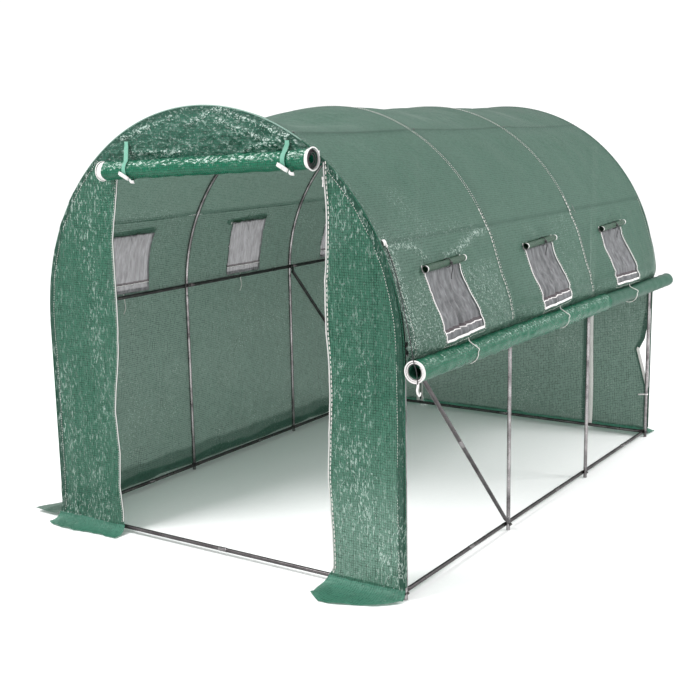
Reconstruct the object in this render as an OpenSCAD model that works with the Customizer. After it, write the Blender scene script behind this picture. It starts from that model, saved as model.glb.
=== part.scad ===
// Walk-in polytunnel greenhouse: four bolted steel hoops, ground rails, purlins and two
// braces under a film cover with a roll-up door, a rolled-up right side and net windows.
// Millimetres, +Z up. The front, with the door, faces -Y.
// The origin is on the ground, under the middle of the whole footprint.

/* [Frame] */
// Width between the centres of a hoop's two legs
frame_w = 2000; // [1700:50:2500]
// Distance between neighbouring hoops
bay_l = 980; // [820:20:1200]
// Height of the straight legs, from the ground to the start of the arch
leg_h = 1030; // [900:10:1250]
// Outside diameter of the steel tube
tube_d = 19; // [16:1:25]
// Height of the ground rails' centre line
rail_z = 30; // [20:1:60]
// Height of the side purlins' centre line above the start of the arch
purlin_rise = 46; // [10:2:370]
// Angle of the roof purlins above the start of the arch
roof_purlin_angle = 61.5; // [40:0.5:75]

/* [Flattened tube ends] */
// Thickness of a flattened end
flat_t = 3; // [2:0.5:4]
// Height of a flattened end
flat_h = 22; // [18:1:26]
// Flat stretch from the bolt to the start of the swage
flat_l = 24; // [20:1:30]
// Distance from the bolt to the round tube
swage_l = 50; // [40:1:70]

/* [Cover] */
// Thickness of the cover panels
film_t = 2; // [1:0.5:3]
// Angle of the seams between the roof and the side covers
seam_angle = 26; // [24:1:36]
// How far the skirts reach out over the ground
skirt_w = 200; // [120:10:260]

/* [Door] */
// Width of the doorway and of the closed rear door
door_w = 1230; // [900:10:1300]
// Height of the door
door_h = 1800; // [1600:10:1820]
// Diameter of the rolled-up door
door_roll_d = 90; // [60:5:110]
// Length of the rolled-up door
door_roll_l = 1230; // [900:10:1250]
// Distance from the middle of the doorway to each strap
strap_x = 480; // [300:10:520]
// Width of the webbing straps
strap_w = 25; // [15:1:40]
// Height above the middle of the door roll at which the straps are sewn to the gable
strap_rise = 95; // [70:5:110]

/* [Rolled-up right side] */
// Diameter of the side roll
side_roll_d = 90; // [60:5:110]
// How far the side roll's centre line is below the start of the arch
side_roll_drop = 45; // [40:5:230]
// How far the side roll runs past the front hoop
side_roll_front = 40; // [20:5:80]
// How far the side roll runs past the rear hoop
side_roll_rear = 130; // [40:5:160]

/* [Windows] */
// Width of a window
window_w = 300; // [240:10:400]
// Height of a window
window_h = 300; // [220:10:340]
// Height of the sills in the right side above the start of the arch
right_sill_rise = 20; // [10:5:50]
// Height of the sills in the left side above the start of the arch
left_sill_rise = 65; // [30:5:70]
// Diameter of a rolled-up window flap
flap_roll_d = 36; // [20:2:44]
// Length of a rolled-up window flap
flap_roll_l = 340; // [260:10:420]

/* [Cords] */
// Diameter of the cords
cord_d = 4; // [3:0.5:6]

/* [Hidden] */
$fn = 64;

steel = "#8d8b8c";
film_green = "#3d7f66";
roll_green = "#0f7a50";
net_grey = "#a5a3a6";
cord_white = "#e6e4e0";
cord_black = "#1c1c1e";

gap = 0.3;
// The arch of the cover is smooth enough for a film this thin
cover_fn = 240;
arch_r = frame_w / 2;
tube_r = tube_d / 2;
half_l = 1.5 * bay_l;
hoop_y = [-half_l, -bay_l / 2, bay_l / 2, half_l];
bays = [0, 1, 2];
bay_mid = [-bay_l, 0, bay_l];
purlin_z = leg_h + purlin_rise;
side_roll_z = leg_h - side_roll_drop;
right_sill_z = leg_h + right_sill_rise;
left_sill_z = leg_h + left_sill_rise;

// A flattened end is wider than the tube that it was pressed from
flat_w = max(flat_h, 1.15 * tube_d);
// The flats reach to where a brace's edge leaves the edge of the purlin or rail it crosses,
// give or take the rounding of the swage
brace_drop = purlin_z - rail_z;
brace_angle = atan2(brace_drop, bay_l);
swage_rounding = 1.5;
flat_reach = max(flat_l, flat_w / 2 / tan(brace_angle / 2) - swage_rounding);
swage_reach = swage_l + flat_reach - flat_l;
// The flattened ends lie against the legs, this far from a tube's centre line
flat_off = tube_r + gap + flat_t / 2;
// A flattened end bolted over another one
second_off = flat_off + flat_t + 1;
// The purlin's flat leans a little over, and the brace's top clears it
brace_top_off = second_off + 0.8;
// How far a flattened end runs past its bolt
flat_over = tube_r - 0.2;
// Centre line of the rails and purlins on the inner side of the hoops
inner_r = arch_r - flat_off;
purlin_angle = asin(purlin_rise / arch_r);

// Cover: the inner and outer faces round the hoops, and the planes of the two end walls
skin_in = arch_r + tube_r + gap;
skin_out = skin_in + film_t;
end_in = half_l + tube_r + flat_t + 2 * gap;
end_out = end_in + film_t;
end_r = skin_in - gap;

door_half = door_w / 2;
strap_t = 2;
door_roll_y = -(end_out + strap_t + 2 * gap + door_roll_d / 2);
// The door roll hangs across the head of the doorway, a little to the right of its middle
door_roll_z = door_h - 10;
door_roll_x = 20;

side_roll_x = skin_out + gap + side_roll_d / 2;
right_reach = side_roll_x + side_roll_d / 2;
left_reach = skin_out + skirt_w;
centre_shift = (left_reach - right_reach) / 2;

// The cover has crept towards the door on the right side
right_window_shift = -100;
left_window_shift = 30;
flap_r = flap_roll_d / 2;
// The flap rolls hang above the windows, clear of the seam
flap_rise = 15;
right_flap_z = right_sill_z + window_h + flap_rise;
left_flap_z = left_sill_z + window_h + flap_rise;
flap_dist = skin_out + gap + flap_r;
// The window ties and the slings sit this far towards the rear of the windows' middles
tie_shift = 20;

cord_r = cord_d / 2;
// The hanging cords are sewn below the sills, towards the front of the windows' middles
hanging_shift = -30;
hanging_drop = 4;
// The clips sit just behind the front edge of the cover, at the height of the seams
clip_y = -half_l + 15;
clip_angle = 26.5;
roll_cord_points = [
  [916, -1455, 1468], [954, -1462, 1385], [988, -1472, 1280], [1012, -1482, 1180],
  [1030, -1494, 1100], [1042, -1506, 1050], [1046, -1513, 1028], [1052, -1513, 985],
  [1056, -1513, 941], [1057, -1513, 937], [1057, -1500, 937]
];
// The tail of a window tie: [out from the side, along the tunnel, up], from its knot
tie_points = [
  [0, 0, 0], [4, 0, -6], [6, 1, -14], [6, 2, -22], [4, 3, -30], [2, 4, -38],
  [0, 5, -46], [-2, 6, -54], [-3, 8, -62], [-3, 10, -70]
];
// A cord hanging inside the left side: [in from the cover, along the tunnel, up], from the sill
hanging_points = [
  [0, 0, 0], [1, 0, -8], [3, 0, -18], [3, 0, -28], [3, 1, -38], [4, 2, -48],
  [5, 3, -58], [6, 3, -68], [6, 2, -78], [5, -1, -88], [4, -5, -98], [3, -10, -107]
];

module at_frame() {
  translate([centre_shift, 0, 0]) children();
}

// ---- steel frame ----

module hoop(y) {
  at_frame() translate([0, y, 0]) {
    translate([0, 0, leg_h]) rotate([90, 0, 0]) rotate_extrude(angle = 180)
      translate([arch_r, 0]) circle(d = tube_d);
    for (s = [-1, 1]) translate([s * arch_r, 0, 0]) cylinder(h = leg_h, d = tube_d);
  }
}

// One end of a strut, its bolt at the origin, the tube running along +X.
// off is the distance along Y from the tube's centre line to the middle of the flat.
module strut_end(off) {
  translate([0, off, 0]) rotate([90, 0, 0]) linear_extrude(flat_t, center = true) {
    circle(r = flat_over);
    polygon([
      [0, -flat_over], [flat_reach, -flat_w / 2], [flat_reach, flat_w / 2], [0, flat_over]
    ]);
  }
  slice = 0.5;
  hull() {
    translate([flat_reach - slice, off - flat_t / 2, -flat_w / 2])
      cube([slice, flat_t, flat_w]);
    translate([swage_reach, 0, 0]) rotate([0, 90, 0])
      cylinder(h = slice, d = tube_d, $fn = 32);
  }
}

// A tube along +X with both ends flattened for a bolt, length from bolt to bolt
module strut(length, off_start, off_end) {
  translate([swage_reach, 0, 0]) rotate([0, 90, 0])
    cylinder(h = length - 2 * swage_reach, d = tube_d);
  strut_end(off_start);
  translate([length, 0, 0]) mirror([1, 0, 0]) strut_end(off_end);
}

// Three struts in line along Y, which share their flats at the middle hoops
module long_rail() {
  for (i = bays) translate([0, hoop_y[i], 0]) rotate([0, 0, 90]) strut(bay_l, 0, 0);
}

// Bolted to the inner side of the legs
module side_rail(side) {
  color(steel) at_frame() translate([side * inner_r, 0, rail_z]) long_rail();
}

// Between the corner legs, with its flats on their outer side; end is -1 for the front
module end_rail(end) {
  color(steel) at_frame() translate([-arch_r, end * half_l, rail_z])
    strut(frame_w, end * flat_off, end * flat_off);
}

// A purlin on the inner side of the hoops, turned to face the middle of the arch
module purlin(side, angle) {
  color(steel) at_frame() translate([0, 0, leg_h]) rotate([0, -side * angle, 0])
    translate([side * inner_r, 0, 0]) long_rail();
}

// A brace from a side purlin's bolt on one hoop to the foot of the next hoop.
// Its top lies on the inner side of the purlin's flat; foot_off is where its foot lies.
module brace(side, top_y, foot_off) {
  length = norm([bay_l, brace_drop]);
  color(steel) at_frame() translate([side * arch_r, top_y, purlin_z])
    rotate([-brace_angle, 0, 0]) rotate([0, 0, 90])
      strut(length, side * brace_top_off, side * foot_off);
}

// ---- cover ----

// Part of the cover's arch between two angles, as a profile in X and Z
module arch_profile(r_in, r_out, from, to) {
  steps = 24;
  function at(i) = from + (to - from) * i / steps;
  reach = 2 * r_out;
  intersection() {
    difference() {
      circle(r = r_out, $fn = cover_fn);
      circle(r = r_in, $fn = cover_fn);
    }
    polygon([
      [0, 0],
      for (i = [0:steps]) [reach * cos(at(i)), reach * sin(at(i))]
    ]);
  }
}

// A profile in X and Z, run along the whole length of the tunnel
module along_tunnel() {
  rotate([90, 0, 0]) linear_extrude(2 * end_out, center = true) children();
}

module roof_cover() {
  color(film_green) at_frame() along_tunnel() translate([0, leg_h])
    arch_profile(skin_in, skin_out, seam_angle, 180 - seam_angle);
}

// A side of the cover from the seam down to bottom_z, facing +X
module side_skin(bottom_z) {
  along_tunnel() {
    translate([0, leg_h]) arch_profile(skin_in, skin_out, 0, seam_angle);
    translate([skin_in, bottom_z]) square([film_t, leg_h - bottom_z]);
  }
}

// The space of the three windows of one side, each face moved in by inset
module window_blocks(sill_z, shift, inset) {
  depth = 0.4 * arch_r;
  for (y = bay_mid)
    translate([arch_r - depth / 2, y + shift - window_w / 2 + inset, sill_z + inset])
      cube([depth, window_w - 2 * inset, window_h - 2 * inset]);
}

module side_cover(bottom_z, sill_z, shift) {
  difference() {
    side_skin(bottom_z);
    window_blocks(sill_z, shift, 0);
  }
}

module window_nets(bottom_z, sill_z, shift) {
  intersection() {
    side_skin(bottom_z);
    window_blocks(sill_z, shift, gap);
  }
}

module left_side_cover() {
  color(film_green) at_frame() mirror([1, 0, 0])
    side_cover(film_t, left_sill_z, left_window_shift);
}

module right_side_cover() {
  color(film_green) at_frame() side_cover(side_roll_z, right_sill_z, right_window_shift);
}

module left_window_nets() {
  color(net_grey) at_frame() mirror([1, 0, 0])
    window_nets(film_t, left_sill_z, left_window_shift);
}

module right_window_nets() {
  color(net_grey) at_frame() window_nets(side_roll_z, right_sill_z, right_window_shift);
}

// The outline of an end wall, from the ground skirt to the arch
module end_outline() {
  intersection() {
    translate([0, leg_h]) circle(r = end_r, $fn = cover_fn);
    translate([-end_r, leg_h]) square([2 * end_r, end_r]);
  }
  translate([-end_r, film_t]) square([2 * end_r, leg_h - film_t]);
}

// end is -1 for the front and 1 for the rear; the children are cut out of the end wall
module end_piece(end) {
  color(film_green) at_frame() translate([0, end * (end_in + film_t / 2), 0])
    rotate([90, 0, 0]) linear_extrude(film_t, center = true) intersection() {
      end_outline();
      children();
    }
}

module above_door() {
  translate([-frame_w, door_h]) square([2 * frame_w, frame_w]);
}

module beside_door(side) {
  x = side < 0 ? -frame_w : door_half;
  translate([x, 0]) square([frame_w - door_half, door_h]);
}

module front_gable() end_piece(-1) above_door();
module rear_gable() end_piece(1) above_door();
module front_left_panel() end_piece(-1) beside_door(-1);
module front_right_panel() end_piece(-1) beside_door(1);
module rear_left_panel() end_piece(1) beside_door(-1);
module rear_right_panel() end_piece(1) beside_door(1);

module rear_door() {
  end_piece(1) translate([-door_half + gap, 0]) square([door_w - 2 * gap, door_h]);
}

// ---- skirts on the ground ----

module left_skirt() {
  color(film_green) at_frame() translate([-left_reach, -end_out, 0])
    cube([skirt_w + film_t, 2 * end_out, film_t]);
}

module end_skirt(end, x, width) {
  y = end < 0 ? -end_out - skirt_w : end_in;
  color(film_green) at_frame() translate([x, y, 0])
    cube([width, skirt_w + film_t, film_t]);
}

module front_left_skirt() end_skirt(-1, -end_r, end_r - door_half);
module front_right_skirt() end_skirt(-1, door_half, end_r - door_half);
module rear_skirt() end_skirt(1, -end_r, 2 * end_r);

// ---- rolled-up door ----

module door_roll() {
  color(roll_green) at_frame() translate([door_roll_x, door_roll_y, door_roll_z])
    rotate([0, 90, 0]) cylinder(h = door_roll_l, d = door_roll_d, center = true);
}

// A webbing strap sewn to the gable, running down behind the roll and round it
module door_strap(side) {
  ring_r = door_roll_d / 2 + gap;
  color(cord_white) at_frame() translate([side * strap_x, door_roll_y, 0]) {
    translate([0, 0, door_roll_z]) rotate([0, 90, 0]) difference() {
      cylinder(h = strap_w, r = ring_r + strap_t, center = true);
      cylinder(h = strap_w + 2, r = ring_r, center = true);
    }
    translate([-strap_w / 2, ring_r, door_roll_z])
      cube([strap_w, strap_t, strap_rise]);
  }
}

// The two side-release buckles on the lower front of the straps
module strap_buckles() {
  buckle_l = 50;
  buckle_t = 10;
  buckle_w = strap_w + 6;
  buckle_angle = 30;
  seat = door_roll_d / 2 + 2 * gap + strap_t;
  color(cord_white) at_frame() for (side = [-1, 1])
    translate([side * strap_x, door_roll_y, door_roll_z]) rotate([buckle_angle, 0, 0])
      translate([-buckle_w / 2, -seat - buckle_t, -buckle_l / 2])
        cube([buckle_w, buckle_t, buckle_l]);
}

// ---- rolled-up side ----

module right_side_roll() {
  length = 2 * half_l + side_roll_front + side_roll_rear;
  color(roll_green) at_frame()
    translate([side_roll_x, -half_l - side_roll_front, side_roll_z])
      rotate([-90, 0, 0]) cylinder(h = length, d = side_roll_d);
}

// Three cord slings, each sewn below a window and slung round the side roll
module side_roll_slings() {
  sling_r = side_roll_d / 2 + gap + cord_r;
  lowest_turn = -140;
  sling_turn = 215;
  color(cord_white) at_frame() for (y = bay_mid)
    translate([side_roll_x, y + right_window_shift + tie_shift, side_roll_z])
      rotate([90, 0, 0]) rotate([0, 0, lowest_turn]) rotate_extrude(angle = sling_turn)
        translate([sling_r, 0]) circle(d = cord_d, $fn = 24);
}

// The clips on the front edge of the cover that the side rolls' cords hang from
module hoop_clips() {
  clip_size = [8, 24, 30];
  color(cord_white) at_frame() for (side = [0, 1]) mirror([side, 0, 0])
    translate([0, clip_y, leg_h]) rotate([0, -clip_angle, 0])
      translate([skin_out + gap, -clip_size[1] / 2, -clip_size[2] / 2]) cube(clip_size);
}

// The cord from the right clip over the cover, round the end of the side roll and under it
module side_roll_cord() {
  color(cord_black) at_frame() swept_cord(roll_cord_points);
}

// ---- window flaps and their ties ----

// One rolled flap over each window of a side facing +X
module flap_rolls(flap_z, shift) {
  angle = asin((flap_z - leg_h) / flap_dist);
  for (y = bay_mid) translate([flap_dist * cos(angle), y + shift, flap_z])
    rotate([90, 0, 0]) cylinder(h = flap_roll_l, r = flap_r, center = true);
}

module left_window_rolls() {
  color(film_green) at_frame() mirror([1, 0, 0]) flap_rolls(left_flap_z, left_window_shift);
}

module right_window_rolls() {
  color(film_green) at_frame() flap_rolls(right_flap_z, right_window_shift);
}

// A tube of cord_d swept along a list of points
module swept_cord(points) {
  sides = 8;
  corner = 360 / sides;
  last = len(points) - 1;
  function heading(i) = points[min(i + 1, last)] - points[max(i - 1, 0)];
  function unit(v) = v / norm(v);
  function side_of(d) = unit(cross(d, abs(unit(d)[1]) > 0.9 ? [1, 0, 0] : [0, 1, 0]));
  function ring(i) =
    let (d = unit(heading(i)), u = side_of(d), v = cross(d, u))
      [for (k = [0:sides - 1])
        points[i] + cord_r * (cos(corner * k) * u + sin(corner * k) * v)];
  faces = [
    [for (k = [0:sides - 1]) k],
    for (i = [0:last - 1], k = [0:sides - 1])
      [(i + 1) * sides + k, (i + 1) * sides + (k + 1) % sides,
       i * sides + (k + 1) % sides, i * sides + k],
    [for (k = [sides - 1:-1:0]) last * sides + k]
  ];
  polyhedron([for (i = [0:last]) each ring(i)], faces);
}

// The knot sits on the outer side of the flap roll
module tie(y, flap_z, shift) {
  angle = asin((flap_z - leg_h) / flap_dist);
  knot = [flap_dist * cos(angle) + flap_r + cord_r + gap, y + shift + tie_shift, flap_z];
  swept_cord([for (p = tie_points) knot + p]);
}

module right_tie(i) {
  color(cord_black) at_frame() tie(bay_mid[i], right_flap_z, right_window_shift);
}

// Sewn below a window, on the inner side of the cover
module left_cord(i) {
  top_z = left_sill_z - hanging_drop;
  top_y = bay_mid[i] + left_window_shift + hanging_shift;
  cover_x = skin_in * cos(asin((top_z - leg_h) / skin_in));
  top = [cover_x - gap - cord_r, top_y, top_z];
  color(cord_white) at_frame() mirror([1, 0, 0])
    swept_cord([for (p = hanging_points) top + [-p[0], p[1], p[2]]]);
}

module left_tie(i) {
  color(cord_black) at_frame() mirror([1, 0, 0])
    tie(bay_mid[i], left_flap_z, left_window_shift);
}

color(steel) hoop(hoop_y[0]);  // front_hoop
color(steel) hoop(hoop_y[1]);  // second_hoop
color(steel) hoop(hoop_y[2]);  // third_hoop
color(steel) hoop(hoop_y[3]);  // rear_hoop
end_rail(-1);  // front_ground_rail
end_rail(1);  // rear_ground_rail
side_rail(-1);  // left_ground_rail
side_rail(1);  // right_ground_rail
purlin(-1, purlin_angle);  // left_purlin
purlin(1, purlin_angle);  // right_purlin
purlin(-1, roof_purlin_angle);  // left_roof_purlin
purlin(1, roof_purlin_angle);  // right_roof_purlin
brace(1, hoop_y[0], -flat_off);  // right_front_brace
brace(-1, hoop_y[2], second_off);  // left_rear_brace
roof_cover();
left_side_cover();
right_side_cover();
front_gable();
front_left_panel();
front_right_panel();
rear_gable();
rear_left_panel();
rear_right_panel();
rear_door();
left_skirt();
front_left_skirt();
front_right_skirt();
rear_skirt();
door_roll();
door_strap(-1);  // left_door_strap
door_strap(1);  // right_door_strap
strap_buckles();
right_side_roll();
side_roll_slings();
side_roll_cord();
hoop_clips();
left_window_nets();
right_window_nets();
left_window_rolls();
right_window_rolls();
right_tie(0);  // right_tie_1
right_tie(1);  // right_tie_2
right_tie(2);  // right_tie_3
left_tie(0);  // left_tie_1
left_tie(1);  // left_tie_2
left_tie(2);  // left_tie_3
left_cord(0);  // left_cord_1
left_cord(1);  // left_cord_2
left_cord(2);  // left_cord_3
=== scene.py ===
"""Looks of a walk-in polytunnel greenhouse: woven film over a galvanised frame.

Metres, +Z up. The front, with the door, faces -Y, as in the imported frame.
"""
import math

import bmesh
import bpy
import numpy as np
from mathutils import Matrix, Vector


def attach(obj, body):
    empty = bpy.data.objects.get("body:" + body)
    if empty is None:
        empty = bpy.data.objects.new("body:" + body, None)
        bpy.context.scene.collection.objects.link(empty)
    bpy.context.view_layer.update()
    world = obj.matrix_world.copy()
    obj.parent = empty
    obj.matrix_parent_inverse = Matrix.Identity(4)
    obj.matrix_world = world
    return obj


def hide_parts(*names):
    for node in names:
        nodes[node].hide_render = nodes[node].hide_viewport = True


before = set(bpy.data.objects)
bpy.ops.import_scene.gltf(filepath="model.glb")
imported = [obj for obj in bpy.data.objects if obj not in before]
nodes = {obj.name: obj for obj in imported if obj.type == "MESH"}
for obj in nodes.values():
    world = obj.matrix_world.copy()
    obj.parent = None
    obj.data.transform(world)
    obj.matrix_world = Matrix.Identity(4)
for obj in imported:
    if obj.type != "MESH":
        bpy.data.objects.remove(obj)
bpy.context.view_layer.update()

# ---- sizes shared with the CAD part, in metres ----
SHIFT = 0.05485
LEG_H = 1.030
TUBE_R = 0.0095
SLEEVE_R = 0.0104
FLAT_OFF = 0.0113
RAIL_Z = 0.030
PURLIN_Z = 1.076
HALF_L = 1.470
HOOPS = [-HALF_L, -0.490, 0.490, HALF_L]
BAY = 0.980
BAYS = [-BAY, 0.0, BAY]
SKIN = 1.0108
WALL_Y = 1.4841
WALL_R = 1.0095
DOOR_TOP = 1.800
DOOR_ROLL = (0.036, -1.5327, 1.787)
DOOR_ROLL_R = 0.045
DOOR_ROLL_HALF = 0.587
DOOR_ROLL_TILT = 0.029
SIDE_ROLL = (1.0740, 0.985)
SIDE_ROLL_R = 0.045
SIDE_ROLL_ENDS = (-1.510, 1.590)
OUTER_TURN_END = 0.52
SIDE_NAMES = {1: "right", -1: "left"}
WINDOW = 0.300
# How far the windows lie from the middles of their bays, and their sills' height.
WINDOWS = {1: (-0.100, 1.050), -1: (0.030, 1.095)}
FLAP_R = 0.018
FLAP_DIST = 1.0301
FLAP_LIFT = 0.015
SEAM = math.radians(26)
ROOF_PURLIN = math.radians(61.5)
CORD_R = 0.002
# Where a skirt leaves the wall, and how much cloth lies below that.
FOOT = 0.10
SKIRT = 0.26

CAMERA_AT = (3.37315, -5.3696, 1.9524)
CAMERA_TURNS = (33.44, 11.085, -1.0006)
CAMERA_LENS = 59.43


def placed(name, data):
    """A new object in the scene."""
    obj = bpy.data.objects.new(name, data)
    bpy.context.scene.collection.objects.link(obj)
    return obj


def place_camera():
    """A long lens a little above head height, off the front right corner."""
    yaw, pitch, roll = (math.radians(a) for a in CAMERA_TURNS)
    level = math.cos(pitch)
    ahead = Vector((-math.sin(yaw) * level, math.cos(yaw) * level, -math.sin(pitch)))
    side = ahead.cross(Vector((0, 0, 1))).normalized()
    up = side.cross(ahead)
    right = math.cos(roll) * side + math.sin(roll) * up
    top = -math.sin(roll) * side + math.cos(roll) * up
    data = bpy.data.cameras.new("camera")
    data.lens = CAMERA_LENS
    data.sensor_width = 36
    camera = placed("camera", data)
    turn = Matrix((right, top, -ahead)).transposed().to_4x4()
    camera.matrix_world = Matrix.Translation(CAMERA_AT) @ turn
    bpy.context.scene.camera = camera


place_camera()


# ---- shapes: each is (points, faces, flat pattern, marks, finish of each face) ----
MARKS = ("doubled_and_shade", "creased")
WAVES = 14


def smooth(t):
    t = np.clip(t, 0.0, 1.0)
    return t * t * (3 - 2 * t)


def ripples(u, v, seed, size, stretch=1.0):
    """Soft random ripples from about -1 to 1, size apart along u and size * stretch along v."""
    rng = np.random.default_rng(seed)
    total = np.zeros(np.broadcast(u, v).shape)
    for _ in range(WAVES):
        heading, turns = rng.uniform(0, math.tau), rng.uniform(0.6, 1.5) * math.tau / size
        wave = np.cos(heading) * u + np.sin(heading) * v / stretch
        total = total + np.sin(turns * wave + rng.uniform(0, math.tau))
    return total / math.sqrt(WAVES) / 1.2


def creases(u, v, seed, size, stretch=1.0):
    """Sharp folds with flat facets between them, as crumpled film has, from 0 to 1."""
    first = np.abs(ripples(u, v, seed, size, stretch))
    second = np.abs(ripples(u, v, seed + 1, size * 0.6, stretch))
    return 1 - np.clip(np.minimum(first, second * 1.3) * 1.6, 0, 1)


def sheet(points, flat, finish, keep=None, doubled_and_shade=0.0, creased=0.0, turned=False):
    """Quads through a grid of points. flat holds the metres along and up the uncut cloth.

    doubled is where the cloth lies double in a hem or seam, and also where painted shade
    darkens it; creased is how crumpled it is, and where painted pale highlights gather.
    """
    rows, cols = points.shape[:2]
    at = np.arange(rows * cols).reshape(rows, cols)
    faces = np.stack([at[:-1, :-1], at[:-1, 1:], at[1:, 1:], at[1:, :-1]], axis=-1).reshape(-1, 4)
    finishes = np.broadcast_to(np.asarray(finish, object), (rows - 1, cols - 1)).reshape(-1)
    if keep is not None:
        faces, finishes = faces[keep.reshape(-1)], finishes[keep.reshape(-1)]
    if turned:
        faces = faces[:, ::-1]
    used, faces = np.unique(faces, return_inverse=True)
    marks = np.stack([np.broadcast_to(mark, (rows, cols)) for mark in (doubled_and_shade, creased)], -1)
    return (points.reshape(-1, 3)[used], faces.reshape(-1, 4).tolist(),
            flat.reshape(-1, 2)[used], marks.reshape(-1, 2)[used], list(finishes))


def unit(v):
    return v / np.maximum(np.linalg.norm(v, axis=-1, keepdims=True), 1e-12)


def headings(path, closed=False):
    if closed:
        return unit(np.roll(path, -1, 0) - np.roll(path, 1, 0))
    return unit(np.gradient(path, axis=0))


def swept(profile, path, finish, across=None, closed=False, scale=None):
    """A profile of (across, up) points carried along a path, with its ends closed."""
    path, profile = np.asarray(path, float), np.asarray(profile, float)
    ahead = headings(path, closed)
    if across is None:
        side = np.zeros_like(path)
        start = np.cross(ahead[0], [0.31, 0.2, 0.93])
        for i, d in enumerate(ahead):
            start = start - start.dot(d) * d
            start = start / np.linalg.norm(start)
            side[i] = start
    else:
        across = np.broadcast_to(np.asarray(across, float), path.shape)
        side = unit(across - (across * ahead).sum(1, keepdims=True) * ahead)
    up = np.cross(ahead, side)
    size = np.ones(len(path)) if scale is None else np.asarray(scale, float)
    rings = path[:, None] + size[:, None, None] * (
        profile[None, :, :1] * side[:, None] + profile[None, :, 1:] * up[:, None])
    n, k = rings.shape[:2]
    along = np.concatenate([[0], np.cumsum(np.linalg.norm(np.diff(path, axis=0), axis=1))])
    round_it = np.concatenate([[0], np.cumsum(np.linalg.norm(np.diff(profile, axis=0), axis=1))])
    flat = np.stack(np.broadcast_arrays(round_it[None, :], along[:, None]), axis=-1)
    faces = []
    for i in range(n if closed else n - 1):
        for j in range(k):
            a, b = i * k + j, i * k + (j + 1) % k
            c, d = ((i + 1) % n) * k + (j + 1) % k, ((i + 1) % n) * k + j
            faces.append([a, b, c, d])
    if not closed:
        faces += [list(range(k))[::-1], [(n - 1) * k + j for j in range(k)]]
    return (rings.reshape(-1, 3), faces, flat.reshape(-1, 2), np.zeros((n * k, 2)),
            [finish] * len(faces))


def ring_of(radius, sides=10):
    turn = np.arange(sides) * math.tau / sides
    return np.stack([radius * np.cos(turn), radius * np.sin(turn)], axis=1)


def strip_of(width, thick):
    """The rounded section of a flat tape or webbing."""
    w, t = width / 2, thick / 2
    return [(-w, -t * 0.4), (-w + t, -t), (w - t, -t), (w, -t * 0.4),
            (w, t * 0.4), (w - t, t), (-w + t, t), (-w, t * 0.4)]


def through(points, count):
    """A smooth line of count points through a few chosen ones."""
    p = np.asarray(points, float)
    ends = np.vstack([2 * p[0] - p[1], p, 2 * p[-1] - p[-2]])
    at = np.linspace(0, len(p) - 1, count)
    i = np.minimum(at.astype(int), len(p) - 2)
    t = (at - i)[:, None]
    a, b, c, d = ends[i], ends[i + 1], ends[i + 2], ends[i + 3]
    return 0.5 * (2 * b + (c - a) * t + (2 * a - 5 * b + 4 * c - d) * t ** 2
                  + (3 * b - a - 3 * c + d) * t ** 3)


def near_line(u, v, start, end, width):
    """From 0 to 1, how near a place on a sheet is to a straight fold between two points."""
    along = np.subtract(end, start)
    share = ((u - start[0]) * along[0] + (v - start[1]) * along[1]) / along.dot(along)
    share = np.clip(share, 0, 1)
    gap = np.hypot(u - start[0] - share * along[0], v - start[1] - share * along[1])
    return np.exp(-(gap / width) ** 2)


def moulded(size, bevel, finish, place):
    """A block with its edges rounded, put in place by a matrix."""
    bm = bmesh.new()
    bmesh.ops.create_cube(bm, size=1)
    bmesh.ops.scale(bm, vec=size, verts=bm.verts)
    bmesh.ops.bevel(bm, geom=bm.edges, offset=bevel, segments=2, profile=0.6, affect="EDGES")
    bm.transform(place)
    bm.verts.index_update()
    points = np.array([v.co for v in bm.verts])
    faces = [[v.index for v in f.verts] for f in bm.faces]
    bm.free()
    return points, faces, points[:, :2].copy(), np.zeros((len(points), 2)), [finish] * len(faces)


def piece(name, shapes, replaces=()):
    """Joins shapes into one mesh that rides with the tunnel. x is measured from its middle."""
    finishes = []
    points, faces, flats, marks, picks, start = [], [], [], [], [], 0
    for p, f, flat, mark, finish in shapes:
        points.append(p)
        flats.append(flat)
        marks.append(mark)
        faces += [[i + start for i in face] for face in f]
        for m in finish:
            if m not in finishes:
                finishes.append(m)
            picks.append(finishes.index(m))
        start += len(p)
    points = np.concatenate(points) + [SHIFT, 0, 0]
    mesh = bpy.data.meshes.new(name)
    mesh.from_pydata(points.tolist(), [], faces)
    for m in finishes:
        mesh.materials.append(m)
    mesh.polygons.foreach_set("material_index", picks)
    mesh.polygons.foreach_set("use_smooth", [True] * len(faces))
    corner = np.zeros(len(mesh.loops), np.int32)
    mesh.loops.foreach_get("vertex_index", corner)
    layer = mesh.uv_layers.new(name="cloth")
    layer.data.foreach_set("uv", np.concatenate(flats)[corner].astype(np.float32).reshape(-1))
    for label, values in zip(MARKS, np.concatenate(marks).astype(np.float32).T):
        extra = mesh.attributes.new(label, "FLOAT", "POINT")
        extra.data.foreach_set("value", np.ascontiguousarray(values))
    mesh.update()
    obj = placed(name, mesh)
    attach(obj, "root")
    if replaces:
        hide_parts(*replaces)
    return obj


# ---- colours and materials ----
def colour(code):
    """A colour written as sRGB hex, as the linear light that shaders take."""
    parts = [int(code[i:i + 2], 16) / 255 for i in (1, 3, 5)]
    return [c / 12.92 if c < 0.04045 else ((c + 0.055) / 1.055) ** 2.4 for c in parts] + [1.0]


def add(tree, kind, settings=None, **links):
    """Adds a node of a kind, sets its fields, and fills inputs by name, or by number as i0."""
    n = tree.nodes.new(kind)
    for field, value in (settings or {}).items():
        setattr(n, field, value)
    for name, value in links.items():
        by_number = name[0] == "i" and name[1:].isdigit()
        socket = n.inputs[int(name[1:]) if by_number else name.replace("_", " ")]
        if isinstance(value, bpy.types.Node):
            value = next(o for o in value.outputs if o.enabled)
        if isinstance(value, bpy.types.NodeSocket):
            tree.links.new(value, socket)
        else:
            socket.default_value = value
    return n


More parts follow.
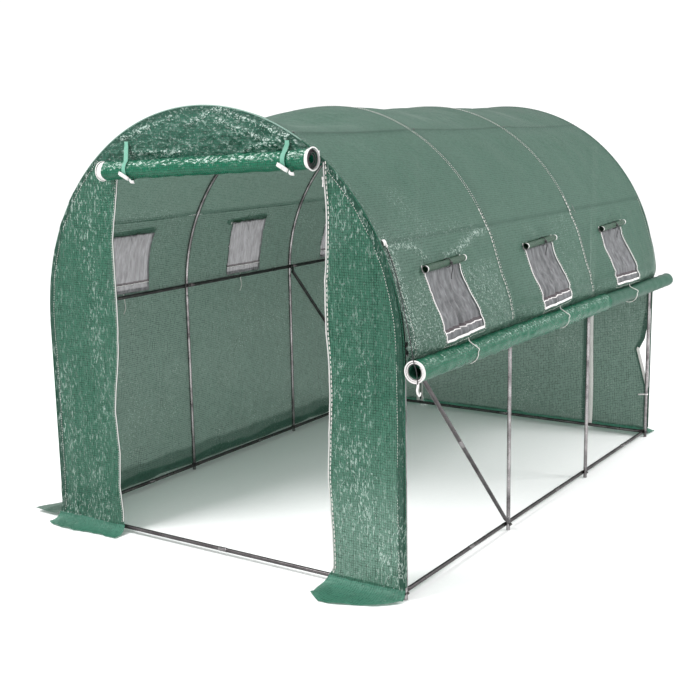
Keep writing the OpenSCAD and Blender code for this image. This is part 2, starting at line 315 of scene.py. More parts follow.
def new_material(name):
    m = bpy.data.materials.new(name)
    m.use_nodes = True
    m.node_tree.nodes.clear()
    return m, m.node_tree


def close_material(tree, surface):
    add(tree, "ShaderNodeOutputMaterial", Surface=surface)


MATH, MIX, RANGE = "ShaderNodeMath", "ShaderNodeMix", "ShaderNodeMapRange"
VECTOR = "ShaderNodeVectorMath"
NOISE, VORONOI, BUMP = "ShaderNodeTexNoise", "ShaderNodeTexVoronoi", "ShaderNodeBump"
MULTIPLY, COLOURS = {"operation": "MULTIPLY"}, {"data_type": "RGBA"}
MULTIPLY_ADD = {"operation": "MULTIPLY_ADD"}
# Millimetres from thread to thread, and from yarn to yarn.
WEAVE_PITCH, NET_PITCH = 11.0, 5.0


def square_net(tree, flat, pitch, edge, settings=None):
    """From 0 to 1, the threads of a square net laid on the flat cloth, pitch mm apart."""
    split = add(tree, "ShaderNodeSeparateXYZ", Vector=flat)
    lines = []
    for axis in (0, 1):
        row = add(tree, MATH, MULTIPLY, i0=split.outputs[axis], i1=1000.0 / pitch)
        wave = add(tree, MATH, {"operation": "PINGPONG"}, i0=row, i1=0.5)
        lines.append(add(tree, RANGE, settings, Value=wave, From_Min=edge[0],
                         From_Max=edge[1], To_Min=1.0, To_Max=0.0))
    return add(tree, MATH, {"operation": "MAXIMUM"}, i0=lines[0], i1=lines[1])


def woven_film(name, thread, between, clear, rough, lit, crumple, dust=0.3, grain=(1, 1, 1),
               shine=0.3):
    """Woven polyethylene film: slit-film threads laminated into a clear skin.

    The eye sees a net of closed darker threads round small squares that pass light, under
    a glossy skin. Handling has broken the skin into small flat facets that each catch the
    light their own way. Short pale strokes along its creases are painted highlights, where
    crumpled film would glint. The threads are drawn 11 mm apart, coarser than the real 3 to
    5 mm weave, so that they still show.
    """
    m, tree = new_material(name)
    uv = add(tree, "ShaderNodeUVMap", {"uv_map": "cloth"})
    place = add(tree, "ShaderNodeTexCoord").outputs["Object"]
    wander = add(tree, NOISE, Vector=place, Scale=14.0, Detail=2.0)
    crooked = add(tree, VECTOR, MULTIPLY_ADD, i0=wander.outputs["Color"],
                  i1=(0.010, 0.010, 0.0), i2=uv)
    net = square_net(tree, crooked, WEAVE_PITCH, (0.08, 0.24),
                     {"interpolation_type": "SMOOTHSTEP"})
    uneven = add(tree, NOISE, Vector=place, Scale=85.0, Detail=2.0)
    share = add(tree, RANGE, Value=uneven, From_Min=0.38, From_Max=0.62, To_Min=0.35)
    threads = add(tree, MATH, MULTIPLY, i0=net, i1=share)
    doubled_and_shade = add(tree, "ShaderNodeAttribute", {"attribute_name": "doubled_and_shade"}).outputs["Fac"]
    creased = add(tree, "ShaderNodeAttribute", {"attribute_name": "creased"}).outputs["Fac"]
    drawn = add(tree, VECTOR, MULTIPLY, i0=place, i1=grain)
    patches = add(tree, NOISE, Vector=drawn, Scale=3.6, Detail=4.0)
    handled = add(tree, RANGE, Value=patches, From_Min=0.40, From_Max=0.62, To_Max=crumple)
    where = add(tree, MATH, {"operation": "MAXIMUM"}, i0=handled, i1=creased)
    facets = add(tree, VORONOI, Vector=drawn, Scale=140.0)
    centred = add(tree, VECTOR, {"operation": "SUBTRACT"}, i0=facets.outputs["Color"],
                  i1=(0.5, 0.5, 0.5))
    steep = add(tree, MATH, MULTIPLY, i0=where, i1=0.7)
    leaning = add(tree, VECTOR, {"operation": "SCALE"}, i0=centred, i3=steep)
    folds = add(tree, NOISE, Vector=drawn, Scale=62.0, Detail=3.0, Distortion=1.2)
    away = add(tree, MATH, {"operation": "SUBTRACT"}, i0=folds, i1=0.5)
    from_fold = add(tree, MATH, {"operation": "ABSOLUTE"}, i0=away)
    stroke = add(tree, RANGE, Value=from_fold, From_Max=0.06, To_Min=1.0, To_Max=0.0)
    gleam = add(tree, NOISE, Vector=drawn, Scale=110.0, Detail=2.0)
    denser = add(tree, MATH, MULTIPLY_ADD, i0=where, i1=0.13, i2=gleam)
    broken = add(tree, RANGE, Value=denser, From_Min=0.56, From_Max=0.64)
    short = add(tree, MATH, MULTIPLY, i0=stroke, i1=broken)
    crumpled = add(tree, BUMP, Strength=min(1.0, 0.3 + crumple), Distance=0.006,
                   Height=from_fold)
    weave = add(tree, BUMP, Strength=0.6, Distance=0.0012, Height=threads, Normal=crumpled)
    tipped = add(tree, VECTOR, {"operation": "ADD"}, i0=weave, i1=leaning)
    facing = add(tree, VECTOR, {"operation": "NORMALIZE"}, i0=tipped)
    # Painted highlights: pale strokes along the creases, where crumpled film would glint.
    painted_glints = add(tree, MATH, MULTIPLY, i0=short, i1=where)
    tone = add(tree, MIX, COLOURS, i0=threads, i6=colour(between), i7=colour(thread))
    haze = add(tree, RANGE, Value=patches, From_Min=0.3, From_Max=0.7, To_Max=dust)
    dusty = add(tree, MIX, COLOURS, i0=haze, i6=tone, i7=colour("#4b6457"))
    # Darker and less clear where the cloth lies double; the doubled mark also carries painted
    # shade, darkening the film where it lies in shadow along the roof purlin and above the side
    # roll.
    deeper = add(tree, MATH, MULTIPLY, i0=doubled_and_shade, i1=0.8)
    shade = add(tree, MIX, COLOURS, i0=deeper, i6=dusty, i7=colour("#08382a"))
    marks = add(tree, MIX, COLOURS, i0=painted_glints, i6=shade, i7=colour("#d3e6dd"))
    worn = add(tree, RANGE, Value=patches, From_Min=0.3, From_Max=0.7,
               To_Min=rough, To_Max=rough + 0.16)
    skin = add(tree, "ShaderNodeBsdfPrincipled", Base_Color=marks, Roughness=worn,
               Normal=facing, IOR=1.51, Specular_IOR_Level=shine)
    glow = add(tree, "ShaderNodeBsdfTranslucent", Color=shade)
    body = add(tree, "ShaderNodeMixShader", Fac=lit, i1=skin, i2=glow)
    gaps = add(tree, RANGE, Value=threads, To_Min=clear, To_Max=clear * 0.2)
    single = add(tree, MATH, MULTIPLY_ADD, i0=doubled_and_shade, i1=-0.8, i2=1.0)
    passing = add(tree, MATH, MULTIPLY, i0=gaps, i1=single)
    hole = add(tree, "ShaderNodeBsdfTransparent", Color=colour("#cfe2d8"))
    close_material(tree, add(tree, "ShaderNodeMixShader", Fac=passing, i1=body, i2=hole))
    return m


def galvanised(name, code, bright, rough):
    """Galvanised steel tube: a dull zinc skin with faint crystals, darker handling marks, and
    painted shade that darkens the tube towards its edges.
    """
    m, tree = new_material(name)
    place = add(tree, "ShaderNodeTexCoord").outputs["Object"]
    # Painted shade: the facing weight darkens the tube towards its edges.
    painted_edge_shade = add(tree, "ShaderNodeLayerWeight", Blend=0.5).outputs["Facing"]
    crystals = add(tree, VORONOI, Vector=place, Scale=160.0)
    marks = add(tree, NOISE, Vector=place, Scale=11.0, Detail=6.0)
    zinc = add(tree, MIX, COLOURS, i0=crystals.outputs["Color"], i6=colour(code),
               i7=colour(bright))
    grime = add(tree, RANGE, Value=marks, From_Min=0.42, From_Max=0.66, To_Max=0.8)
    handled = add(tree, MIX, COLOURS, i0=grime, i6=zinc, i7=colour("#4a4547"))
    worn = add(tree, MIX, COLOURS, i0=painted_edge_shade, i6=handled, i7=colour("#1c1a1b"))
    dull = add(tree, RANGE, Value=marks, From_Min=0.3, From_Max=0.7,
               To_Min=rough - 0.06, To_Max=rough + 0.12)
    grain = add(tree, NOISE, Vector=place, Scale=900.0, Detail=2.0)
    bump = add(tree, BUMP, Strength=0.15, Distance=0.0004, Height=grain)
    close_material(tree, add(tree, "ShaderNodeBsdfPrincipled", Base_Color=worn,
                             Metallic=0.92, Roughness=dull, Normal=bump))
    return m


def netting(name, code, light, air):
    """Knitted insect net: fine pale yarns with air between them, seen as a grey veil.

    The yarns are drawn 5 mm apart, coarser than the real 1 mm, so that they show at all.
    """
    m, tree = new_material(name)
    uv = add(tree, "ShaderNodeUVMap", {"uv_map": "cloth"})
    yarns = square_net(tree, uv, NET_PITCH, (0.12, 0.3))
    place = add(tree, "ShaderNodeTexCoord").outputs["Object"]
    hung = add(tree, VECTOR, MULTIPLY, i0=place, i1=(1.0, 1.0, 0.12))
    streaks = add(tree, NOISE, Vector=hung, Scale=55.0, Detail=3.0)
    share = add(tree, RANGE, Value=streaks, From_Min=0.35, From_Max=0.7)
    grey = add(tree, MIX, COLOURS, i0=share, i6=colour(code), i7=colour(light))
    bump = add(tree, BUMP, Strength=0.5, Distance=0.004, Height=streaks)
    yarn = add(tree, "ShaderNodeBsdfPrincipled", Base_Color=grey, Roughness=0.75, Normal=bump)
    glow = add(tree, "ShaderNodeBsdfTranslucent", Color=grey)
    body = add(tree, "ShaderNodeMixShader", Fac=0.35, i1=yarn, i2=glow)
    passing = add(tree, RANGE, Value=yarns, To_Min=air, To_Max=air * 0.3)
    hole = add(tree, "ShaderNodeBsdfTransparent", Color=colour("#ffffff"))
    close_material(tree, add(tree, "ShaderNodeMixShader", Fac=passing, i1=body, i2=hole))
    return m


def ribbed_textile(name, light, dark, pitch, rough, turn=0.0):
    """Woven tape, webbing or braid: close ribs that catch the light, a little soiled."""
    m, tree = new_material(name)
    uv = add(tree, "ShaderNodeUVMap", {"uv_map": "cloth"})
    turned = add(tree, "ShaderNodeMapping", Vector=uv, Rotation=(0, 0, turn))
    split = add(tree, "ShaderNodeSeparateXYZ", Vector=turned)
    row = add(tree, MATH, MULTIPLY, i0=split.outputs[1], i1=1000.0 / pitch)
    wave = add(tree, MATH, {"operation": "PINGPONG"}, i0=row, i1=0.5)
    ribs = add(tree, MATH, MULTIPLY, i0=wave, i1=2.0)
    place = add(tree, "ShaderNodeTexCoord").outputs["Object"]
    soiled = add(tree, NOISE, Vector=place, Scale=30.0, Detail=4.0)
    tone = add(tree, MIX, COLOURS, i0=ribs, i6=colour(dark), i7=colour(light))
    share = add(tree, RANGE, Value=soiled, From_Min=0.45, From_Max=0.8, To_Max=0.4)
    worn = add(tree, MIX, COLOURS, i0=share, i6=tone, i7=colour(dark))
    bump = add(tree, BUMP, Strength=0.5, Distance=0.0006, Height=ribs)
    close_material(tree, add(tree, "ShaderNodeBsdfPrincipled", Base_Color=worn,
                             Roughness=rough, Normal=bump, Sheen_Weight=0.15))
    return m


def moulded_plastic(name, code, rough):
    """Moulded polypropylene: an even, slightly mottled skin with a soft shine."""
    m, tree = new_material(name)
    place = add(tree, "ShaderNodeTexCoord").outputs["Object"]
    mottle = add(tree, NOISE, Vector=place, Scale=60.0, Detail=4.0)
    tone = add(tree, MIX, COLOURS, i0=mottle, i6=colour(code), i7=colour("#c9c7c4"))
    bump = add(tree, BUMP, Strength=0.12, Distance=0.0004, Height=mottle)
    close_material(tree, add(tree, "ShaderNodeBsdfPrincipled", Base_Color=tone,
                             Roughness=rough, Normal=bump, IOR=1.49))
    return m


cover_film = woven_film("woven_side_film", "#17372c", "#4e6e60", 0.13, 0.42, 0.24, 0.32)
roof_film = woven_film("woven_cover_film", "#1f4236", "#507162", 0.16, 0.42, 0.26, 0.12)
front_film = woven_film("woven_front_film", "#063a29", "#336b56", 0.20, 0.24, 0.26, 0.80, 0.12,
                        (1.0, 1.0, 0.33), 0.30)
skirt_film = woven_film("woven_skirt_film", "#29614e", "#4f8c77", 0.10, 0.50, 0.25, 0.25, 0.3)
gable_film = woven_film("woven_gable_film", "#063d2c", "#155a47", 0.12, 0.18, 0.22, 0.45, 0.1,
                        (0.55, 1.0, 1.0), 0.45)
rolled_film = woven_film("rolled_woven_film", "#013f2b", "#055a41", 0.0, 0.22, 0.02, 0.06,
                         0.0, (0.45, 0.8, 1.0), 0.24)
dull_film = woven_film("rolled_inner_film", "#123f31", "#20523f", 0.0, 0.45, 0.02, 0.10, 0.1)
flap_film = woven_film("rolled_flap_film", "#1c3529", "#2a4835", 0.0, 0.35, 0.05, 0.15, 0.1)
steel = galvanised("galvanised_steel_tube", "#9b9798", "#b4b0b1", 0.18)
# A darker copy of the same steel: painted shade for the rails, purlins and braces.
shaded_steel = galvanised("shaded_steel_tube", "#5f5b5c", "#777374", 0.30)
zinc = galvanised("zinc_plated_bolts", "#8a8784", "#aaa7a6", 0.26)
insect_net = netting("knitted_insect_net", "#69676b", "#919094", 0.27)
# A darker copy of the net, used as painted shade: above each window's fold line and in the door
# roll's inner rings.
shaded_net = netting("shaded_insect_net", "#554d51", "#655d61", 0.08)
hem_tape = ribbed_textile("white_hem_tape", "#efedec", "#bdb9b8", 3.0, 0.7)
zip_tape = ribbed_textile("white_zip_tape", "#f1efed", "#c6c4c0", 4.0, 0.65)
webbing = ribbed_textile("pale_green_webbing", "#6ea894", "#3d7c66", 2.5, 0.6)
piping = ribbed_textile("pale_green_piping", "#8aa79b", "#53776a", 5.0, 0.5)
white_braid = ribbed_textile("white_braided_cord", "#f0eeea", "#b9b6b0", 3.0, 0.7, 0.7)
black_braid = ribbed_textile("black_braided_cord", "#2b2b2e", "#0d0d0f", 3.0, 0.7, 0.7)
thread = ribbed_textile("white_sewing_thread", "#f4f3f1", "#d3d1cd", 1.5, 0.6)
white_plastic = moulded_plastic("white_polypropylene", "#ebe9e8", 0.35)


# ---- the cover's shape ----
def wall_edge(z):
    """How far out the end walls' edge lies at a height."""
    over = np.clip(np.asarray(z, float) - LEG_H, 0, WALL_R * 0.9999)
    return np.sqrt(WALL_R ** 2 - over ** 2)


SIDE_SEEDS = {1: 20, -1: 40}


def bay_part(y):
    """Which bay a place along the tunnel is in, and how far through it, from 0 to 1."""
    inside = np.clip((np.asarray(y, float) - HOOPS[0]) / BAY, 0, 2.9999)
    return inside.astype(int), inside % 1.0


def seam_lift(y):
    """How far the film lies off its smooth round along the seam of the roof and a side."""
    t = bay_part(y)[1]
    return -0.006 * np.sin(math.pi * t) + 0.003 * ripples(y, 0 * y, 77, 0.30)


def hang(y, off_crown):
    """How far the roof film hangs: deepest between the roof purlins behind the front hoop.

    off_crown is the angle from the top of the arch, in degrees.
    """
    bay, t = bay_part(y)
    deep = np.where(bay == 1, 0.010, 0.006) * np.sin(math.pi * t)
    deep = np.where(bay == 0, 0.062 * np.sin(math.pi * t ** 0.7) ** 1.7, deep)
    between = smooth((math.degrees(math.pi / 2 - ROOF_PURLIN) - off_crown) / 15)
    return 0.008 * np.sin(math.pi * t) + deep * between


def creep(y, angle):
    """How far along the tunnel the cover's seams have crept: to the front on the right."""
    round_it = np.cos(angle)
    share = np.sin(math.pi * (y + WALL_Y) / (2 * WALL_Y)) / 0.868
    return share * np.where(round_it > 0, -0.070, -0.020) * round_it


def arch_points(angle, y, lift):
    """Points of the film round the arch, lift being how far they lie off its smooth round."""
    r = SKIN + lift
    return np.stack([r * np.cos(angle), np.broadcast_to(y, r.shape),
                     LEG_H + r * np.sin(angle)], axis=-1)


def with_stops(*spans):
    """Positions from (start, end, steps) spans laid one after another."""
    parts = [np.linspace(a, b, n + 1)[:-1] for a, b, n in spans]
    return np.concatenate(parts + [[spans[-1][1]]])


def make_roof():
    y = np.linspace(-WALL_Y, WALL_Y, 260)
    side = [(SEAM, ROOF_PURLIN - 0.04, 40), (ROOF_PURLIN - 0.04, ROOF_PURLIN + 0.04, 12)]
    angle = with_stops(*side, (ROOF_PURLIN + 0.04, math.pi / 2, 36))
    angle = np.concatenate([angle, math.pi - angle[-2::-1]])
    uncut, aa = np.meshgrid(y, angle)
    yy = uncut + creep(uncut, aa)
    edge = np.sin(math.pi * bay_part(yy)[1])
    off_crown = np.degrees(np.abs(aa - math.pi / 2))
    off_purlin = off_crown - math.degrees(math.pi / 2 - ROOF_PURLIN)
    free = 1 - 0.85 * np.exp(-(off_purlin / 5) ** 2)
    lift = -hang(yy, off_crown) + 0.0035 * free * edge * ripples(yy, aa, 3, 0.33, 2.0)
    lift += 0.0030 * free * edge * (creases(yy, aa, 8, 0.22, 1.7) - 0.3)
    lift += 0.0025 * np.exp(-(off_purlin / 1.1) ** 2)
    low = smooth((math.degrees(SEAM) + 8 - (90 - off_crown)) / 8)
    lift = lift * (1 - low) + seam_lift(yy) * low
    points = arch_points(aa, yy, lift)
    flat = np.stack([yy, SKIN * aa], axis=-1)
    seam_band = smooth((math.degrees(SEAM) + 1.6 - (90 - off_crown)) / 0.6)
    hoop_band = sum(smooth((0.013 - np.abs(uncut - h - 0.006)) / 0.006) for h in HOOPS[1:3])
    # Painted shade: a dark line along the roof purlin beneath the film, given through the doubled
    # mark though the cloth is single there.
    painted_purlin_shade = np.exp(-(off_purlin / 0.55) ** 2)
    doubled_and_shade = np.maximum.reduce([0.5 * seam_band, 0.85 * hoop_band, 0.7 * painted_purlin_shade])
    # Creases, and the painted pale highlights that go with them: a patch low on the right towards
    # the front, the front edge, and the seam's front half.
    creased = 0.45 * np.exp(-((yy + 1.17) / 0.10) ** 2 - ((np.degrees(aa) - 37) / 5) ** 2)
    creased += 0.30 * smooth((-1.40 - yy) / 0.06) + 0.35 * low * smooth((-0.5 - yy) / 0.2)
    return sheet(points, flat, roof_film, doubled_and_shade=doubled_and_shade, creased=creased)


def window_stops(shift):
    """Places along the tunnel that meet every window's edges."""
    spans, last = [], -WALL_Y
    for mid in BAYS:
        low, high = mid + shift - WINDOW / 2, mid + shift + WINDOW / 2
        spans += [(last, low, max(6, int((low - last) / 0.010))), (low, high, 30)]
        last = high
    spans.append((last, WALL_Y, max(6, int((WALL_Y - last) / 0.010))))
    return with_stops(*spans)


def in_windows(y, z, shift, sill):
    """True where the middle of a quad lies in a window."""
    found = np.zeros(np.broadcast(y, z).shape, bool)
    for mid in BAYS:
        found |= (np.abs(y - mid - shift) < WINDOW / 2) & (z > sill) & (z < sill + WINDOW)
    return found


def middles(grid):
    return (grid[:-1, :-1] + grid[1:, :-1] + grid[:-1, 1:] + grid[1:, 1:]) / 4


RIGHT_FOLDS = [((-1.46, 1.468), (-1.26, 1.458), 0.9), ((-1.26, 1.458), (-1.19, 1.400), 0.9),
               ((-1.03, 1.392), (-0.91, 1.402), 0.9), ((-0.91, 1.402), (-0.70, 1.455), 1.0),
               ((-0.70, 1.455), (-0.56, 1.468), 1.0), ((-1.40, 1.100), (-1.24, 1.088), 0.7),
               ((-0.90, 1.30), (-0.60, 1.12), 0.6), ((-0.88, 1.20), (-0.60, 1.06), 0.6),
               ((-0.55, 1.082), (-0.27, 1.092), 0.3), ((-0.20, 1.46), (-0.06, 1.39), 0.3)]


def right_bulge(y, z):
    """The film swells out over the side roll and tucks in behind it."""
    t = bay_part(y)[1]
    swell = 0.020 + 0.051 * np.sin(math.pi * t) ** 0.8
    return swell * (1 - smooth((z - 1.060) / 0.25)) * (0.26 + 0.74 * smooth((z - 0.985) / 0.07))


def right_rise(y, z):
    """The film over the roll is drawn up towards the rear end of the first two windows."""
    bay, t = bay_part(y)
    drawn = smooth((t - 0.20) / 0.34) * (1 - smooth((t - 0.62) / 0.3)) * (bay < 2)
    return 0.022 * drawn * (1 - smooth((z - 1.08) / 0.25)) * smooth((z - 1.0) / 0.04)


def right_creased(y, z):
    """How crumpled the right side is, and so where its painted pale highlights gather: most at
    its front edge and along its tight folds.
    """
    folds = [share * near_line(y, z, a, b, 0.020) for a, b, share in RIGHT_FOLDS]
    front = 0.85 * smooth((-1.36 - y) / 0.07)
    before = 0.55 * smooth((-1.22 - y) / 0.03) * smooth((1.36 - z) / 0.06)
    after = 0.55 * smooth((-0.56 - y) / 0.03) * smooth((y + 0.90) / 0.03) * smooth(
        (1.38 - z) / 0.08)
    low = 0.35 * smooth((1.10 - z) / 0.03)
    later = 0.30 * smooth((0.45 - y) / 0.05) * smooth((y - 0.08) / 0.05)
    return np.maximum.reduce(folds + [front, before, after, low, later])


def side_lift(y, z, side):
    """The swell, ripples and folds of a side, the last two dying away towards the roof seam."""
    between = np.sin(math.pi * bay_part(y)[1]) ** 0.8
    seed = SIDE_SEEDS[side]
    rough = 0.004 * ripples(y, z, seed, 0.16, 2.2) + 0.006 * (
        creases(y, z, seed + 4, 0.20, 1.4) - 0.35)
    bulge = 0.0
    if side > 0:
        bulge = right_bulge(y, z)
        rough = rough + sum(0.007 * share * near_line(y, z, a, b, 0.018)
                            for a, b, share in RIGHT_FOLDS)
        rough = rough - 0.008 * near_line(y, z, (-1.45, 1.105), (1.45, 1.105), 0.014)
    top = smooth((z - 1.40) / 0.07)
    return bulge + (0.3 + 0.7 * between) * rough * (1 - top) + seam_lift(y) * top


def side_points(y, z, side):
    """Points of a side at places along the tunnel and at heights, as if it faced +X."""
    over = np.clip((z - LEG_H) / SKIN, 0, 1)
    angle = np.arcsin(over)
    r = SKIN + side_lift(y, z, side)
    high = np.where(z < LEG_H, z, LEG_H + SKIN * over)
    if side > 0:
        high = high + right_rise(y, z)
    return np.stack([r * np.cos(angle), y, high], axis=-1)


def mirrored(points):
    return points * [-1, 1, 1]


def make_right_side():
    shift, sill = WINDOWS[1]
    top = LEG_H + SKIN * math.sin(SEAM)
    y = window_stops(shift)
    z = with_stops((0.985, sill, 16), (sill, sill + WINDOW, 34), (sill + WINDOW, top, 14))
    yy, zz = np.meshgrid(y, z)
    points = side_points(yy, zz, 1)
    keep = ~in_windows(middles(yy), middles(zz), shift, sill)
    front_band = smooth((-WALL_Y + 0.045 - yy) / 0.006)
    rear_band = smooth((yy - WALL_Y + 0.030) / 0.006)
    hoop_band = sum(smooth((0.012 - np.abs(yy - h - 0.064)) / 0.006) for h in (-0.606, 0.374))
    # The bottom rows, where the film tucks in behind the side roll, get painted shade through the
    # doubled mark; the bands at the ends and beside the hoops are real seams.
    doubled_and_shade = np.maximum.reduce([0.8 * front_band, 0.6 * rear_band, 0.6 * hoop_band,
                                 0.7 * smooth((1.022 - zz) / 0.01)])
    return sheet(points, np.stack([yy, zz], axis=-1), roof_film, keep, doubled_and_shade,
                 right_creased(yy, zz))


def make_left_side():
    """From the roof seam down the left legs and out over the ground."""
    shift, sill = WINDOWS[-1]
    top = LEG_H + SKIN * math.sin(SEAM)
    y = window_stops(shift)
    z = with_stops((FOOT, 0.30, 12), (0.30, sill, 44), (sill, sill + WINDOW, 22),
                   (sill + WINDOW, top, 6))
    yy, zz = np.meshgrid(y, z)
    upright = side_points(yy, zz, -1)
    foot = smooth((0.34 - zz) / 0.24)
    upright[..., 0] += 0.010 * foot * ripples(yy, zz, 51, 0.30)
    out, high, low = skirt_rows(22)
    y_low = np.broadcast_to(y, (len(out), len(y)))
    reach = 0.86 + 0.10 * ripples(y_low, 0 * y_low, 53, 0.7)
    lifted = 0.010 * (out[:, None] / 0.2) * np.abs(ripples(y_low, out[:, None], 55, 0.28))
    tip = smooth((-1.25 - y_low) / 0.24) * (out[:, None] / 0.2)
    skirt = np.stack([SKIN + out[:, None] * reach + 0.030 * tip
                      + 0.010 * smooth((0.2 - out[:, None]) / 0.2)
                      * ripples(y_low, 0 * y_low + 0.1, 51, 0.30),
                      y_low + 0 * reach, high[:, None] + lifted + 0.018 * tip], axis=-1)
    points = np.concatenate([skirt, upright])
    flat_z = np.concatenate([low, z])
    flat = np.stack(np.meshgrid(y, flat_z), axis=-1)
    keep = np.ones((len(points) - 1, len(y) - 1), bool)
    keep[len(skirt):] = ~in_windows(middles(yy), middles(zz), shift, sill)
    band = np.broadcast_to(((flat_z > -0.02) & (flat_z < 0.145))[:, None], points.shape[:2])
    return sheet(mirrored(points), flat, cover_film, keep, 0.65 * band, turned=True)


def skirt_rows(count):
    """Rows of a skirt from its free edge, in over the ground, round and up the wall's foot.

    Gives each row's place out and up, and its height on the uncut cloth.
    """
    t = np.linspace(1, 0, count)[:-1]
    a, b, c, d = (0, FOOT), (0.0, 0.025), (0.035, 0.004), (0.2, 0.003)
    out, high = (a[i] * (1 - t) ** 3 + 3 * b[i] * t * (1 - t) ** 2
                 + 3 * c[i] * t * t * (1 - t) + d[i] * t ** 3 for i in (0, 1))
    return out, high, FOOT - np.linspace(SKIRT, 0, count)[:-1]


def end_panel(end, inner, outer, reach, seed, film, folds=0.006, steps=56):
    """A hanging end wall panel and its skirt, from a line at one side to a line at the other.

    inner and outer give x at a height, reach the share of the skirt's length across it.
    """
    t = np.linspace(0, 1, steps)
    z = np.linspace(FOOT, DOOR_TOP, 150)
    out, high, below = skirt_rows(26)
    height = np.concatenate([high, z])
    length = np.concatenate([below, z])
    away = np.concatenate([out, np.zeros_like(z)])
    low = inner(height)[:, None]
    wide = outer(height)[:, None] - low
    tt, ll = np.meshgrid(t, length)
    x = low + wide * tt
    free = smooth((DOOR_TOP - ll) / 0.25)
    wavy = folds * free * (ripples(x, ll, seed, 0.085, 14) * 0.55
                           + ripples(x, ll, seed + 2, 0.30, 3) * 0.6
                           + (creases(x, ll, seed + 5, 0.22, 3.0) - 0.4) * 0.7)
    spread = np.interp(t, np.linspace(0, 1, len(reach)), reach)[None, :]
    outward = away[:, None] * spread + np.where(away[:, None] > 0.02, 0.3, 1) * wavy + 0.004
    flutter = np.where(away[:, None] > 0.01, 1.0, 0.0) * away[:, None] / 0.2
    rise = flutter * 0.010 * np.abs(ripples(x, ll, seed + 9, 0.16))
    y = end * (WALL_Y + np.maximum(outward, -0.006))
    zz = height[:, None] + rise + 0 * tt
    points = np.stack([x, y, zz], axis=-1)
    flat = np.stack([x, ll], axis=-1)
    hem = smooth((0.034 - (1 - tt) * np.abs(wide)) / 0.004)
    turned = (end < 0) != (float(wide.mean()) > 0)
    # Front panels are creased more, most high up, and so get more painted pale highlights.
    upper = 0.35 * smooth((ll - 1.30) / 0.35) if end < 0 else 0.0
    crumpled = np.clip(upper + (0.22 if end < 0 else 0.0), 0, 1) * (ll > 0.02)
    finishes = np.where(middles(ll) < 0.02, skirt_film, film)
    return sheet(points, flat, finishes, doubled_and_shade=0.9 * hem * (ll > 0.02), creased=crumpled,
                 turned=turned), points


GABLE_FOLDS = [((0.470, 1.905), (0.120, 2.015)), ((0.400, 1.870), (0.100, 1.975)),
               ((0.460, 1.900), (0.240, 1.850)), ((-0.470, 1.905), (-0.160, 1.990)),
               ((-0.440, 1.840), (-0.120, 1.842)), ((-0.060, 1.965), (0.120, 2.030))]


def make_gable(end, seed, film, depth=0.008, folds=()):
    """The film above a door, from the arch down to the door's head."""
    start = math.asin((DOOR_TOP - LEG_H) / WALL_R) + 0.004
    turn = np.linspace(math.pi - start, start, 170)
    t = np.linspace(0, 1, 50)[:, None]
    x = np.broadcast_to(WALL_R * np.cos(turn), (50, 170))
    top = LEG_H + WALL_R * np.sin(turn)
    z = DOOR_TOP - 0.012 * (1 - t) + (top - DOOR_TOP) * t
    inward = np.sin(math.pi * t) ** 0.7 * np.minimum(1, (top - DOOR_TOP) / 0.05)
    crumple = ripples(x, z, seed, 0.13) * 0.6 + creases(x, z, seed + 3, 0.10) - 0.3
    sway = 0.35 * ripples(x, z, seed + 7, 0.5)
    drawn = sum(near_line(x, z, a, b, 0.012) for a, b in folds) + 0 * x
    y = end * (WALL_Y + inward * (depth * (crumple + sway) + 0.007 * drawn))
    points = np.stack([x, y, z], axis=-1)
    flat = np.stack([x, z], axis=-1)
    band = smooth((0.030 - (top - z)) / 0.004) * 0.5
    # Creasing, with its painted pale highlights, is stronger on the front gable and along the
    # drawn folds.
    creased = np.clip(0.35 * (end < 0) + 0.9 * drawn, 0, 1)
    return sheet(points, flat, film, doubled_and_shade=band, creased=creased, turned=end > 0)


